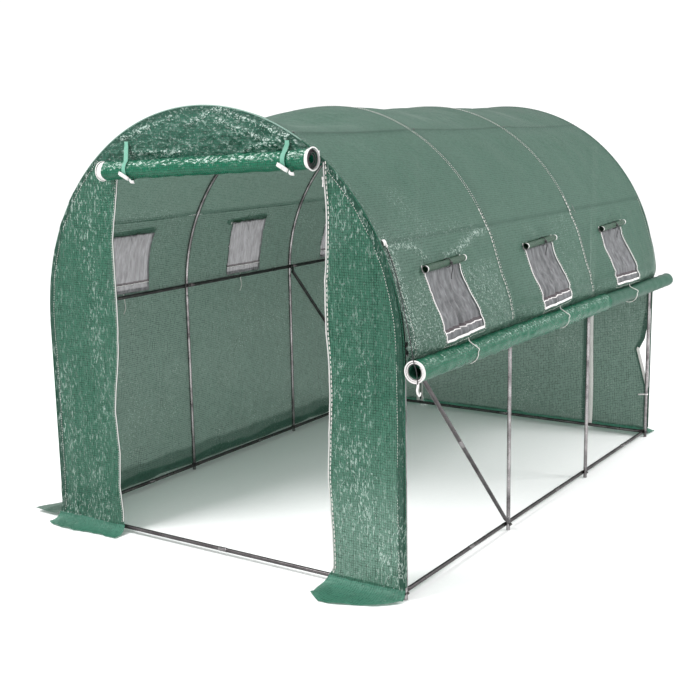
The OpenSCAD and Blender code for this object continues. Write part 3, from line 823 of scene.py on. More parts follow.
# ---- rolled film ----
def rolled(stops, radius, hole, turns, start, way, place, finish, seed, lead=None, tape=None,
           pucker=0.0012, turned=False, steps=30, flare=None, ends_in=0.0, crease_and_glint_angle=None,
           taped=1.3):
    """A sheet rolled up round a line: a spiral with crumpled layers, its outer turn first.

    stops are the places along the line, place maps (along, out, up) to the tunnel, lead
    holds points that come before the outer turn, as (out, up), and tape is the finish and
    the widths of the strips at the two ends of the first taped turns. flare widens the roll
    along its length, the inner turns stop ends_in short of the outer one, turn by turn, and
    crinkled is the angle round the roll, on its lit side, at which its skin is most creased
    and painted pale highlights gather. Returns the shape and the length that is rolled.
    """
    t = np.linspace(0, 1, int(turns * steps))
    turn = (start + way * t * turns * math.tau)[:, None]
    s = np.asarray(stops)[None, :]
    r = (radius - (radius - hole) * t)[:, None] - pucker
    r = r + pucker * ripples(s, turn * radius, seed, 0.08) + 0.0007 * np.sin(2 * turn + 1.3)
    if flare is not None:
        r = r * flare(s)
    out, up = r * np.cos(turn), r * np.sin(turn)
    short = 1 - 2 * ends_in * t / (s.max() - s.min())
    if lead is not None:
        lead = np.asarray(lead, float)
        out = np.concatenate([np.repeat(lead[:, :1], s.shape[1], 1), out])
        up = np.concatenate([np.repeat(lead[:, 1:], s.shape[1], 1), up])
        short = np.concatenate([np.ones(len(lead)), short])
    middle = (s.max() + s.min()) / 2
    a = middle + (s - middle) * short[:, None]
    path = np.concatenate([[0], np.cumsum(np.hypot(np.diff(out[:, 0]), np.diff(up[:, 0])))])
    flat = np.stack([a, np.broadcast_to(path[:, None], a.shape)], axis=-1)
    finishes = np.full((out.shape[0] - 1, s.shape[1] - 1), finish, object)
    if tape is not None:
        along = middles(np.broadcast_to(s, a.shape))
        at_end = (along < s.min() + tape[1]) | (along > s.max() - tape[2])
        at_end[int(taped * steps):] = False
        finishes[at_end] = tape[0]
    creased = 0.0
    # Painted highlights: the creasing, and with it the pale glint strokes, gathers on the roll's
    # lit side.
    if crease_and_glint_angle is not None:
        away = np.angle(np.exp(1j * (np.arctan2(up, out) - math.radians(crease_and_glint_angle))))
        creased = 0.03 + 0.95 * np.exp(-(away / 0.50) ** 2)
    return sheet(place(a, out, up), flat, finishes, creased=creased, turned=turned), path[-1]


def end_ring(at, radius, place, thick, finish=None):
    """The rounded edge of one turn, showing as a ring at the end of a roll."""
    turn = np.linspace(0, math.tau, 49)[:-1]
    path = place(np.full(48, at), radius * np.cos(turn), radius * np.sin(turn))
    return swept(ring_of(thick, 8), path, finish or hem_tape, closed=True)


def roll_stops(low, high, strip, steps):
    """Places along a roll that meet the edges of its end strips."""
    return with_stops((low, low + strip, 2), (low + strip, high - strip, steps),
                      (high - strip, high, 2))


# ---- growing repeated hardware along lines and at points ----
def new_tree(name, sizes):
    """A node tree that takes a shape and named sizes in metres and gives a shape back."""
    tree = bpy.data.node_groups.new(name, "GeometryNodeTree")
    tree.interface.new_socket("Geometry", in_out="INPUT", socket_type="NodeSocketGeometry")
    for label, value in sizes.items():
        socket = tree.interface.new_socket(label, in_out="INPUT", socket_type="NodeSocketFloat")
        socket.default_value = value
    tree.interface.new_socket("Geometry", in_out="OUTPUT", socket_type="NodeSocketGeometry")
    return tree, tree.nodes.new("NodeGroupInput")


def close_tree(tree, geometry, finish):
    solid = add(tree, "GeometryNodeRealizeInstances", Geometry=geometry)
    painted = add(tree, "GeometryNodeSetMaterial", Geometry=solid, Material=finish)
    add(tree, "NodeGroupOutput", i0=painted)


def stitch_tree(name, finish):
    """Short lengths of thread, one after another along each line."""
    tree, given = new_tree(name, {"Spacing": 0.010, "Length": 0.006, "Thickness": 0.0014})
    line = add(tree, "GeometryNodeMeshToCurve", Mesh=given.outputs["Geometry"])
    points = add(tree, "GeometryNodeResampleCurve", {"mode": "LENGTH"}, Curve=line,
                 Length=given.outputs["Spacing"])
    stitch = add(tree, "GeometryNodeMeshCylinder", {"fill_type": "NGON"}, Vertices=5,
                 Radius=given.outputs["Thickness"], Depth=given.outputs["Length"])
    along = add(tree, "GeometryNodeInputTangent")
    turn = add(tree, "FunctionNodeAlignEulerToVector", {"axis": "Z"}, Vector=along)
    placed = add(tree, "GeometryNodeInstanceOnPoints", Points=points,
                 Instance=stitch.outputs["Mesh"], Rotation=turn)
    close_tree(tree, placed, finish)
    return tree


def bolt_tree(name, finish):
    """A washer and a six-sided head or nut at each point, facing the way it is marked."""
    tree, given = new_tree(name, {"Washer": 0.0065, "Head": 0.0055, "Height": 0.0042})
    washer = add(tree, "GeometryNodeMeshCylinder", Vertices=20,
                 Radius=given.outputs["Washer"], Depth=0.0014)
    head = add(tree, "GeometryNodeMeshCylinder", Vertices=6,
               Radius=given.outputs["Head"], Depth=given.outputs["Height"])
    stem = add(tree, "GeometryNodeMeshCylinder", Vertices=12, Radius=0.0026, Depth=0.0022)
    raised = add(tree, "GeometryNodeTransform", Geometry=head.outputs["Mesh"],
                 Translation=(0, 0, 0.0027))
    tip = add(tree, "GeometryNodeTransform", Geometry=stem.outputs["Mesh"],
              Translation=(0, 0, 0.0058))
    joined = tree.nodes.new("GeometryNodeJoinGeometry")
    for part in (washer.outputs["Mesh"], raised.outputs[0], tip.outputs[0]):
        tree.links.new(part, joined.inputs[0])
    facing = add(tree, "GeometryNodeInputNamedAttribute", {"data_type": "FLOAT_VECTOR"},
                 Name="facing")
    turn = add(tree, "FunctionNodeAlignEulerToVector", {"axis": "Z"}, Vector=facing)
    placed = add(tree, "GeometryNodeInstanceOnPoints", Points=given.outputs["Geometry"],
                 Instance=joined, Rotation=turn)
    close_tree(tree, placed, finish)
    return tree


def grown(name, tree, lines, sizes=None, facing=None):
    """Runs a tree on lines or points, and keeps the result as a plain mesh."""
    points, edges = [], []
    for line in lines:
        start = len(points)
        points += [list(p) for p in line]
        if facing is None:
            edges += [(start + i, start + i + 1) for i in range(len(line) - 1)]
    mesh = bpy.data.meshes.new(name)
    mesh.from_pydata((np.array(points) + [SHIFT, 0, 0]).tolist(), edges, [])
    if facing is not None:
        marks = mesh.attributes.new("facing", "FLOAT_VECTOR", "POINT")
        marks.data.foreach_set("vector", np.asarray(facing, np.float32).reshape(-1))
    obj = placed(name, mesh)
    grow = obj.modifiers.new("grow", "NODES")
    grow.node_group = tree
    for item in tree.interface.items_tree:
        if item.in_out == "INPUT" and item.name in (sizes or {}):
            grow[item.identifier] = sizes[item.name]
    bpy.context.view_layer.update()
    shown = obj.evaluated_get(bpy.context.evaluated_depsgraph_get())
    made = bpy.data.meshes.new_from_object(shown)
    obj.modifiers.clear()
    obj.data = made
    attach(obj, "root")
    return obj


# ---- steel frame ----
def steel_frame():
    for name in nodes:
        if name.endswith(("hoop", "rail", "purlin", "brace")):
            nodes[name].data.materials.clear()
            # Rails, purlins and braces take the darker steel copy, painted shade for parts that
            # lie in shadow.
            nodes[name].data.materials.append(steel if name.endswith("hoop") else shaded_steel)
            for p in nodes[name].data.polygons:
                p.material_index = 0


def sleeve(middle, ahead, length=0.042):
    """The swaged joint between two tubes, a little fatter than they are."""
    middle, ahead = np.asarray(middle, float), unit(np.asarray(ahead, float))
    steps = np.array([-0.5, -0.46, -0.40, 0.40, 0.46, 0.5])
    path = middle + steps[:, None] * length * ahead
    return swept(ring_of(SLEEVE_R, 20), path, steel, scale=[0.93, 0.97, 1, 1, 0.97, 0.93])


def tube_joints():
    shapes = []
    for y in HOOPS:
        for side in (-1, 1):
            shapes.append(sleeve((side, y, LEG_H - 0.03), (0, 0, 1)))
            turn = math.radians(62 if side > 0 else 118)
            at = (math.cos(turn), y, LEG_H + math.sin(turn))
            shapes.append(sleeve(at, (-math.sin(turn), 0, math.cos(turn)), 0.036))
    for end in (-1, 1):
        shapes.append(sleeve((0.02, end * HALF_L, RAIL_Z), (1, 0, 0), 0.05))
    for side, mid in ((1, BAYS[0]), (-1, BAYS[2])):
        shapes.append(sleeve((side, mid, (PURLIN_Z + RAIL_Z) / 2),
                             (0, BAY, RAIL_Z - PURLIN_Z), 0.05))
    for side in (-1, 1):
        for y in (-0.86, 0.12, 1.10):
            shapes.append(sleeve((side * (1 - FLAT_OFF), y, RAIL_Z), (0, 1, 0), 0.04))
    piece("tube_joints", shapes)


def frame_bolts():
    spots, facings = [], []

    def bolt(at, way, near, far):
        at, way = np.asarray(at, float), np.asarray(way, float)
        spots.extend([at + way * near, at - way * far])
        facings.extend([way, -way])

    inner = FLAT_OFF + 0.0015 + 0.0007
    outer = TUBE_R + 0.0005
    for i, y in enumerate(HOOPS):
        for side in (-1, 1):
            both = 0.0135 if (i == 1 and side > 0) or (i == 3 and side < 0) else outer
            extra = 0.004 if i == 3 and side < 0 else 0.0
            bolt((side, y, RAIL_Z), (-side, 0, 0), inner + extra, both)
            lean = math.asin(PURLIN_Z - LEG_H)
            way = np.array([-side * math.cos(lean), 0, -math.sin(lean)])
            hub = np.array([0, y, LEG_H])
            extra = 0.0055 if (i == 0 and side > 0) or (i == 2 and side < 0) else 0.0
            bolt(hub - way, way, inner + extra, outer)
            way = np.array([-side * math.cos(ROOF_PURLIN), 0, -math.sin(ROOF_PURLIN)])
            bolt(hub - way, way, inner, outer)
    for end in (-1, 1):
        for side in (-1, 1):
            bolt((side, end * HALF_L, RAIL_Z), (0, end, 0), inner, outer)
    grown("frame_bolts", bolt_tree("bolt_heads", zinc), [spots], None, facings)


steel_frame()
tube_joints()
frame_bolts()

# ---- film cover ----
roof = piece("roof_film", [make_roof()], ["roof_cover"])
right_side = piece("right_side_film", [make_right_side()], ["right_side_cover"])
left_side = piece("left_side_film", [make_left_side()],
                  ["left_side_cover", "left_skirt"])


def right_door_edge(z):
    """The front right panel's free edge sways and turns out over the ground."""
    z = np.asarray(z, float)
    return 0.640 + 0.009 * np.sin(8.5 * z + 0.6) * smooth((1.8 - z) / 0.2) - 0.026 * smooth(
        (0.09 - z) / 0.09)


# The front left panel's free edge: heights, and its place across the end wall at each.
LEFT_EDGE = ([0.11, 0.24, 0.41, 0.61, 0.94, 1.16, 1.44, 1.72],
             [-0.584, -0.597, -0.579, -0.59, -0.548, -0.543, -0.547, -0.5])


def left_door_edge(z):
    z = np.asarray(z, float)
    return np.interp(z, *LEFT_EDGE) + 0.012 * smooth((0.06 - z) / 0.06)


def left_leg_edge(z):
    return -wall_edge(z) - 0.020 * smooth((0.09 - np.asarray(z, float)) / 0.09)


# How far in the rear right panel's outer edge is drawn: heights, and the way in at each.
PULLED_IN = ([0.30, 0.55, 0.62, 0.84], [0.0, 0.070, 0.035, 0.0])


def rear_right_edge(z):
    """The rear right panel has pulled in from its leg part of the way up."""
    z = np.asarray(z, float)
    return wall_edge(z) - np.interp(z, *PULLED_IN)


REAR_ZIP = 0.618
REAR_DOOR_HALF = 0.606


def rear_door_edge(side):
    return lambda z: side * (REAR_ZIP + 0.004 * np.sin(7.0 * np.asarray(z, float)))


def end_walls():
    """The four panels beside the doors, the closed rear door and the two gables."""
    front_right, edge_points = end_panel(
        -1, right_door_edge, wall_edge, [0.66, 0.95, 0.9, 0.72, 0.56, 0.20], 60, front_film)
    front_left, left_points = end_panel(
        -1, left_door_edge, left_leg_edge, [0.42, 0.40, 0.44, 0.52, 0.50, 0.42], 70, front_film)
    rear_right, _ = end_panel(1, rear_door_edge(1), rear_right_edge, [0.9, 0.8, 0.95, 0.7], 80,
                              cover_film, folds=0.007)
    rear_left, _ = end_panel(1, rear_door_edge(-1), lambda z: -wall_edge(z),
                             [0.9, 0.85, 0.9, 0.8], 90, cover_film, folds=0.007)
    rear_door, _ = end_panel(1, lambda z: -REAR_DOOR_HALF + 0 * z,
                             lambda z: REAR_DOOR_HALF + 0 * z, [0.85, 0.95, 0.8, 0.9],
                             100, cover_film, steps=90)
    front_gable = make_gable(-1, 110, gable_film, folds=GABLE_FOLDS)
    rear_gable = make_gable(1, 120, cover_film, 0.005)
    # Each sheet's name, shape and CAD nodes, and its cut: length by width, and area.
    made = (
        ("front_right_film", front_right, ["front_right_panel", "front_right_skirt"],
         (0.42, 2.02), 0.62),
        ("front_left_film", front_left, ["front_left_panel", "front_left_skirt"],
         (0.46, 2.02), 0.76),
        ("rear_right_film", rear_right, ["rear_right_panel", "rear_skirt"], (0.40, 2.06), 0.68),
        ("rear_left_film", rear_left, ["rear_left_panel", "rear_skirt"], (0.40, 2.06), 0.68),
        ("rear_door_film", rear_door, ["rear_door", "rear_skirt"], (1.21, 2.06), None),
        ("front_gable_film", front_gable, ["front_gable"], (1.30, 0.24), 0.2140),
        ("rear_gable_film", rear_gable, ["rear_gable"], (1.30, 0.24), 0.2140),
    )
    for name, shape, stood_for, flat, area in made:
        obj = piece(name, [shape], stood_for)
    return edge_points, left_points


right_panel_points, left_panel_points = end_walls()


# ---- rolled-up door, side and window flaps ----
def door_place(a, out, up):
    """The door roll hangs a little lower on the left."""
    x, y, z = DOOR_ROLL
    return np.stack([x + a, y + out, z + up + DOOR_ROLL_TILT * a / DOOR_ROLL_HALF], axis=-1)


def door_flare(a):
    """The roll is looser at its right end."""
    return 1 + 0.05 * smooth((a - 0.44) / 0.16) ** 2


def make_door_roll():
    half, left_tape, right_tape = DOOR_ROLL_HALF, 0.030, 0.014
    stops = with_stops((-half, -half + left_tape, 3),
                       (-half + left_tape, half - right_tape, 84),
                       (half - right_tape, half, 2))
    lead = [(0.0470, 0.032), (0.0466, 0.022), (0.0452, 0.010)]
    # The creasing and its painted pale highlights gather at 142 degrees, on the roll's lit upper
    # front.
    shape, length = rolled(stops, DOOR_ROLL_R, 0.011, 10.3, 0.0, -1, door_place, rolled_film,
                           130, lead, (hem_tape, left_tape, right_tape), 0.0022,
                           flare=door_flare,
                           ends_in=0.014, crease_and_glint_angle=142)
    obj = piece("rolled_door", [shape], ["door_roll"])
    rings = [end_ring(half, DOOR_ROLL_R * 1.03, door_place, 0.0028),
             end_ring(-half, DOOR_ROLL_R * 0.97, door_place, 0.0024)]
    # The inner rings are drawn in the darker net as painted shade, where the inner turns lie
    # recessed in the roll's end.
    for share, back in ((0.80, 0.003), (0.62, 0.006), (0.44, 0.009)):
        rings.append(end_ring(half - back, DOOR_ROLL_R * share, door_place, 0.0015, shaded_net))
    piece("rolled_door_edges", rings)


def side_place(a, out, up):
    """The side roll lies a little further out and lower towards the rear."""
    x, z = SIDE_ROLL
    back = smooth((a - 0.4) / 1.2)
    return np.stack([x + out - 0.010 * back, a, z + up - 0.006 * back], axis=-1)


def make_side_roll():
    """The outer turn stops short of the rear, where the duller turn inside it shows."""
    stops = roll_stops(*SIDE_ROLL_ENDS, 0.012, 130)
    shape, length = rolled(stops, SIDE_ROLL_R - 0.003, 0.027, 6.1, math.pi, 1, side_place,
                           dull_film, 140, None, (hem_tape, 0.012, 0.0), 0.0016, steps=34,
                           taped=4.6)
    front = with_stops((-1.512, -1.500, 2), (-1.500, OUTER_TURN_END, 120))
    turn = np.radians(np.linspace(125, -235, 46))
    aa, rr = np.meshgrid(front, turn)
    round_it = rr * SIDE_ROLL_R
    r = SIDE_ROLL_R - 0.0012 + 0.0022 * ripples(aa, round_it, 145, 0.08)
    r = r + 0.0015 * creases(aa, round_it, 146, 0.06)
    # Painted highlights: the outer turn is most creased, with pale glint strokes, round its lit
    # upper outer side.
    away = np.angle(np.exp(1j * (rr - math.radians(48))))
    finishes = np.full((len(turn) - 1, len(front) - 1), rolled_film, object)
    finishes[:, :2] = hem_tape
    outer = sheet(side_place(aa, r * np.cos(rr), r * np.sin(rr)),
                  np.stack([aa, -round_it], axis=-1), finishes,
                  creased=0.60 * np.exp(-(away / 0.42) ** 2), turned=True)
    obj = piece("rolled_side", [shape], ["right_side_roll"])
    wrap = piece("rolled_side_outer_turn", [outer], ["right_side_roll"])
    rings = [end_ring(-1.511, SIDE_ROLL_R - 0.001, side_place, 0.0034),
             end_ring(-1.509, SIDE_ROLL_R - 0.0085, side_place, 0.0026),
             end_ring(-1.505, 0.0275, side_place, 0.0018, dull_film),
             end_ring(OUTER_TURN_END, SIDE_ROLL_R - 0.001, side_place, 0.0022, rolled_film)]
    piece("rolled_side_edges", rings)


def flap_middle(i, side):
    """The middle of a rolled window flap, as if its side faced +X."""
    shift, sill = WINDOWS[side]
    high = sill + WINDOW + FLAP_LIFT
    lean = math.asin((high - LEG_H) / FLAP_DIST)
    return np.array([FLAP_DIST * math.cos(lean), BAYS[i] + shift, high])


def make_flap(i, side):
    x, mid, high = flap_middle(i, side)

    def place(a, out, up):
        tilt = 0.006 * a / 0.17
        return np.stack([side * (x + out), mid + a, high + up + tilt], axis=-1)

    stops = roll_stops(-0.170, 0.170, 0.007, 26)
    lead = [(-0.0170, 0.014), (-0.0175, 0.006)]
    shape, length = rolled(stops, FLAP_R, 0.006, 4.6, math.pi, 1, place, flap_film,
                           150 + i + 5 * side, lead, (hem_tape, 0.006, 0.006), 0.0010,
                           turned=side < 0, steps=24)
    where = SIDE_NAMES[side]
    obj = piece(f"{where}_rolled_flap_{i + 1}", [shape],
                [f"{where}_window_rolls"])


def make_net(i, side):
    """A gathered net behind its opening, with taped sides and a deep hem at the sill."""
    shift, sill = WINDOWS[side]
    mid = BAYS[i] + shift
    y = np.linspace(mid - WINDOW / 2 - 0.006, mid + WINDOW / 2 + 0.006, 64)
    z = np.linspace(sill - 0.006, sill + WINDOW + 0.006, 80)
    yy, zz = np.meshgrid(y, z)
    base = side_points(yy, zz, side)
    down = (zz - sill) / WINDOW
    gather = ripples(yy, 0.1 * zz, 160 + i + 7 * side, 0.040, 5) * (1.3 - 0.7 * down)
    slack = np.sin(math.pi * np.clip(down, 0, 1)) * np.sin(
        math.pi * np.clip((yy - y[0]) / (y[-1] - y[0]), 0, 1))
    base[..., 0] -= 0.0045 + 0.008 * slack - 0.0055 * gather * slack ** 0.3
    where = SIDE_NAMES[side]
    above = zz - sill - 0.040
    flat = np.stack([yy, zz], axis=-1)
    points = base if side > 0 else mirrored(base)
    finishes = np.full((len(z) - 1, len(y) - 1), insect_net, object)
    finishes[np.abs(middles(above)) < 0.0026] = hem_tape
    # Painted shade: a band of darker net just above the white fold line.
    finishes[np.abs(middles(above) - 0.0075) < 0.0046] = shaded_net
    shape = sheet(points, flat, finishes, turned=side < 0)
    net = piece(f"{where}_net_{i + 1}", [shape], [f"{where}_window_nets"])
    hem = window_hem(i, side)


HEM_STEPS = 26


def window_line(i, side, offset, lift):
    """The corners of a window joined along the film, offset outwards from its opening."""
    shift, sill = WINDOWS[side]
    mid = BAYS[i] + shift
    h = WINDOW / 2 + offset
    low = sill - (offset if offset > 0.005 else -0.007)
    corners = [(mid - h, sill + WINDOW + offset), (mid - h, low), (mid + h, low),
               (mid + h, sill + WINDOW + offset)]
    line = []
    for (ya, za), (yb, zb) in zip(corners[:-1], corners[1:]):
        t = np.linspace(0, 1, HEM_STEPS)[:, None]
        line.append(np.array([[ya, za]]) * (1 - t) + np.array([[yb, zb]]) * t)
    places = np.concatenate(line)
    yy, zz = places[:, :1], places[:, 1:]
    points = side_points(yy, zz, side)[:, 0]
    points[:, 0] += lift
    return points if side > 0 else mirrored(points)


def window_hem(i, side):
    """White tape round three sides of a window, wider along the sill."""
    line = window_line(i, side, 0.002, 0.0016)
    out = (side, 0, 0.12)
    shapes = []
    for run, width in zip(np.split(line, 3), (0.007, 0.011, 0.007)):
        across = np.cross(headings(run), out)
        shapes.append(swept(strip_of(width, 0.0016), run, hem_tape, across))
    return piece(f"{SIDE_NAMES[side]}_window_hem_{i + 1}", shapes)


make_door_roll()
make_side_roll()
for i in range(3):
    for side in (-1, 1):
        make_flap(i, side)
        make_net(i, side)


# ---- straps, buckles, clips ----
# Each strap's place across the end wall: where it is sewn on, and where it rounds the roll.
STRAPS = {-1: (-0.432, -0.376), 1: (0.467, 0.503)}


def door_roll_at(x):
    """The door roll's middle and its radius at a place across the end wall."""
    along = x - DOOR_ROLL[0]
    z = DOOR_ROLL[2] + DOOR_ROLL_TILT * along / DOOR_ROLL_HALF
    return DOOR_ROLL[1], z, DOOR_ROLL_R * float(door_flare(along))


def strap_line(side):
    """From the gable over the front of the door roll, under it and up behind it."""
    head, x = STRAPS[side]
    y, z, r = door_roll_at(x)
    r += 0.0012
    turns = np.radians(np.linspace(128, 360, 44))
    ring = np.stack([np.full(44, x), y + r * np.cos(turns), z + r * np.sin(turns)], axis=-1)
    top = np.array([[head, -WALL_Y - 0.009, 1.890], [head, -WALL_Y - 0.010, 1.873]])
    rise = top[-1] + np.linspace(0, 1, 9)[1:-1, None] * (ring[0] - top[-1])
    back = np.array([[x, ring[-1][1] + 0.001, z + 0.020], [x, -WALL_Y - 0.002, z + 0.040]])
    return np.concatenate([top, rise, ring, back])


def door_straps():
    for side in (-1, 1):
        shape = swept(strip_of(0.022, 0.0018), strap_line(side), webbing, (1, 0, 0))
        name = SIDE_NAMES[side]
        piece(f"{name}_strap", [shape], [f"{name}_door_strap"])


def buckle(side):
    """A side-release buckle on the lower front of a strap, its tail hanging below."""
    x = STRAPS[side][1]
    y, z, r = door_roll_at(x)
    turn = math.radians(30)
    away = Vector((0, -math.cos(turn), -math.sin(turn)))
    down = Vector((0, math.sin(turn), -math.cos(turn)))
    tilt = Matrix.Rotation(math.radians(52), 3, away)
    across, down = tilt @ Vector((1, 0, 0)), tilt @ down
    hub = Vector((x, y, z)) + away * (r + 0.0085)
    turned = Matrix((across, -down, -away)).transposed().to_4x4()
    # Each block's place down the strap and across it, its size and its rounding.
    blocks = [(-0.012, 0, (0.019, 0.020, 0.008), 0.0022),
              (-0.0245, 0, (0.020, 0.005, 0.005), 0.0018),
              (0.004, 0, (0.009, 0.013, 0.005), 0.0015),
              (0.016, 0, (0.019, 0.012, 0.007), 0.0022),
              (0.0245, 0, (0.020, 0.004, 0.004), 0.0016),
              (0.004, -0.0078, (0.0045, 0.020, 0.006), 0.0014),
              (0.004, 0.0078, (0.0045, 0.020, 0.006), 0.0014)]
    shapes = []
    for along, shift, size, bevel in blocks:
        at = Matrix.Translation(hub + down * along + across * shift)
        shapes.append(moulded(size, bevel, white_plastic, at @ turned))
    tail = [hub + down * 0.030 - away * 0.002, hub + down * 0.042 + away * 0.004,
            hub + down * 0.056 + away * 0.001 + across * 0.006]
    shapes.append(swept(strip_of(0.017, 0.0016), through(tail, 9), hem_tape, across))
    return shapes


def hoop_clip(side):
    """A small hooked clip on the front edge of the cover, with its short tape."""
    lean = math.radians(26.5)
    out = np.array([math.cos(lean) * side, 0, math.sin(lean)])
    down = np.array([math.sin(lean) * side, 0, -math.cos(lean)])
    root = np.array([0, -1.455, LEG_H]) + out * 1.0135
    tape = [root - down * 0.016, root - down * 0.004 + out * 0.003, root + down * 0.010]
    hook = [root + out * 0.002 - down * 0.002, root + out * 0.006 + down * 0.006,
            root + out * 0.007 + down * 0.014, root + out * 0.003 + down * 0.018,
            root + down * 0.013 + out * 0.001]
    front = (0, 1, 0)
    return [swept(strip_of(0.022, 0.002), through(tape, 9), hem_tape, front),
            swept(ring_of(0.0024, 8), through(hook, 22), white_plastic)]


door_straps()
piece("buckles", buckle(-1) + buckle(1), ["strap_buckles"])
piece("clips", hoop_clip(-1) + hoop_clip(1), ["hoop_clips"])

# ---- cords ----
TIE = [(0, 0, 0), (4, 0, -6), (6, 1, -14), (6, 2, -22), (4, 3, -30), (2, 4, -38),
       (0, 5, -46), (-2, 6, -54), (-3, 8, -62), (-3, 10, -70)]
HANGING = [(0, 0, 0), (1, 0, -8), (3, 0, -18), (3, 0, -28), (3, 1, -38), (4, 2, -48),
           (5, 3, -58), (6, 3, -68), (6, 2, -78), (5, -1, -88), (4, -5, -98), (3, -10, -107)]
ROLL_CORD = [(916, -1455, 1468), (954, -1462, 1385), (990, -1472, 1280), (1022, -1484, 1180),
             (1050, -1500, 1100), (1066, -1512, 1050), (1072, -1517, 1030),
             (1086, -1518, 990), (1090, -1517, 946), (1086, -1512, 938), (1083, -1500, 939)]


def free_cord(name, line, finish, node):
    """A cord that hangs free from its first point, its cut end sealed and a little fatter."""
    path = through(line, 60)
    scale = np.ones(len(path))
    scale[-3:] = (1.12, 1.12, 0.7)
    obj = piece(name, [swept(ring_of(CORD_R, 10), path, finish, scale=scale)], [node])
    return obj


def tie(i, side):
    middle = flap_middle(i, side) + [0, 0.020, 0]
    knot = middle + [FLAP_R + CORD_R + 0.0003, 0, 0]
    line = knot + np.array(TIE) / 1000
    r = FLAP_R + 0.0010
    turns = np.linspace(-0.25, math.tau - 0.6, 40)
    loop = middle + np.stack([r * np.cos(turns), 0.004 * np.sin(turns * 0.5),
                              r * np.sin(turns)], axis=-1)
    small = np.linspace(0, math.tau * 1.9, 40)
    twist = knot + [0.001, 0, 0] + np.stack(
        [0.0028 * np.sin(small * 1.5), 0.0055 * np.cos(small),
         0.0050 * np.sin(small)], axis=-1)
    if side < 0:
        line, loop, twist = mirrored(line), mirrored(loop), mirrored(twist)
    where = SIDE_NAMES[side]
    ring = [swept(ring_of(0.0017, 8), loop, black_braid),
            swept(ring_of(0.0020, 8), twist, black_braid)]
    holding = piece(f"{where}_tie_knot_{i + 1}", ring)
    free_cord(f"{where}_tie_tail_{i + 1}", line, black_braid, f"{where}_tie_{i + 1}")


def hanging_cord(i):
    shift, sill = WINDOWS[-1]
    top = sill - 0.004
    inner = SKIN - 0.001
    inside = inner * math.cos(math.asin((top - LEG_H) / inner))
    root = np.array([inside - 0.0003 - CORD_R, BAYS[i] + shift - 0.030, top])
    line = mirrored(root + np.array(HANGING) / 1000 * [-1, 1, 1])
    free_cord(f"left_hanging_cord_{i + 1}", line, white_braid, f"left_cord_{i + 1}")


def roll_sling(i):
    """A cord sewn under the sill that passes over the front of the side roll and round it."""
    x, z = SIDE_ROLL
    y = BAYS[i] + WINDOWS[1][0] + 0.010
    z = z - 0.012 * float(smooth((y - 0.4) / 1.2))
    sill = window_line(i, 1, 0.010, 0.003)[HEM_STEPS * 3 // 2 - 1]
    r = SIDE_ROLL_R + 0.0015
    turns = np.radians(np.linspace(8, -130, 12))
    ring = np.stack([x + r * np.cos(turns), y + 0.018 - 0.012 * np.linspace(0, 1, 12) ** 2,
                     z + r * np.sin(turns)], axis=-1)
    sill[1] = y
    drop = np.array([sill, sill + [0.004, 0.006, -0.018],
                     [x + r + 0.003, y + 0.016, z + 0.022]])
    path = through(np.concatenate([drop, ring]), 70)
    return swept(ring_of(CORD_R, 8), path, white_braid)


def side_roll_cord():
    """The cord from the right clip round the end of the side roll, with its loop and toggle."""
    path = through(np.array(ROLL_CORD) / 1000, 90)
    cord = swept(ring_of(CORD_R, 8), path, black_braid)
    x, z = SIDE_ROLL
    loop = [(x + 0.016, -1.5135, z - 0.040), (x + 0.018, -1.516, z - 0.052),
            (x + 0.015, -1.518, z - 0.070), (x + 0.019, -1.518, z - 0.088)]
    hook = [(x + 0.019, -1.518, z - 0.086), (x + 0.025, -1.520, z - 0.092),
            (x + 0.031, -1.522, z - 0.086), (x + 0.033, -1.523, z - 0.076)]
    tape = swept(strip_of(0.010, 0.0016), through(loop, 14), hem_tape, (1, 0, 0))
    toggle = swept(ring_of(0.0030, 10), through(hook, 16), white_plastic)
    piece("side_roll_cord_black", [cord], ["side_roll_cord"])
    piece("side_roll_toggle", [tape, toggle])


for i in range(3):
    hanging_cord(i)
    for side in (-1, 1):
        tie(i, side)
piece("side_roll_cords_white", [roll_sling(i) for i in range(3)],
      ["side_roll_slings"])
side_roll_cord()


# ---- seams, zips and stitching ----
PIPED_FROM = math.radians(58)


def arc_line(y, start, end):
    turn = np.linspace(start, end, 90)
    return arch_points(turn, y, 0 * turn)


def corner_seam(end, upright, arch):
    """The sewn edge where an end wall meets the roof and the sides."""
    y = end * (WALL_Y + 0.0005)
    right = np.array([[SKIN, y, z] for z in np.linspace(0.06, LEG_H, 30)])
    runs = [(0.0026, arc_line(y, PIPED_FROM, math.pi), arch),
            (0.0040, arc_line(y, 0, PIPED_FROM), upright),
            (0.0040, right, upright), (0.0040, mirrored(right)[::-1], upright)]
    return [swept(ring_of(radius, 8), run, finish) for radius, run, finish in runs]


def zip_strip(points, offset, width, away, teeth=0.004):
    """A zip's white tape with its chain of teeth, along an edge line."""
    line = points + np.asarray(away) * offset
    tape = swept(strip_of(width, 0.0016), line, zip_tape, (1, 0, 0))
    chain = swept(strip_of(teeth, 0.0036), line + np.asarray(away) * 0.001, white_plastic,
                  (1, 0, 0))
    return [tape, chain]


piece("corner_seams", corner_seam(-1, front_film, piping)
      + corner_seam(1, cover_film, cover_film))


# The rows of an end panel from the foot of its wall up, where zips and stitches run.
SEWN_ROWS = slice(20, None)
LEG_TIE_Z = 0.272


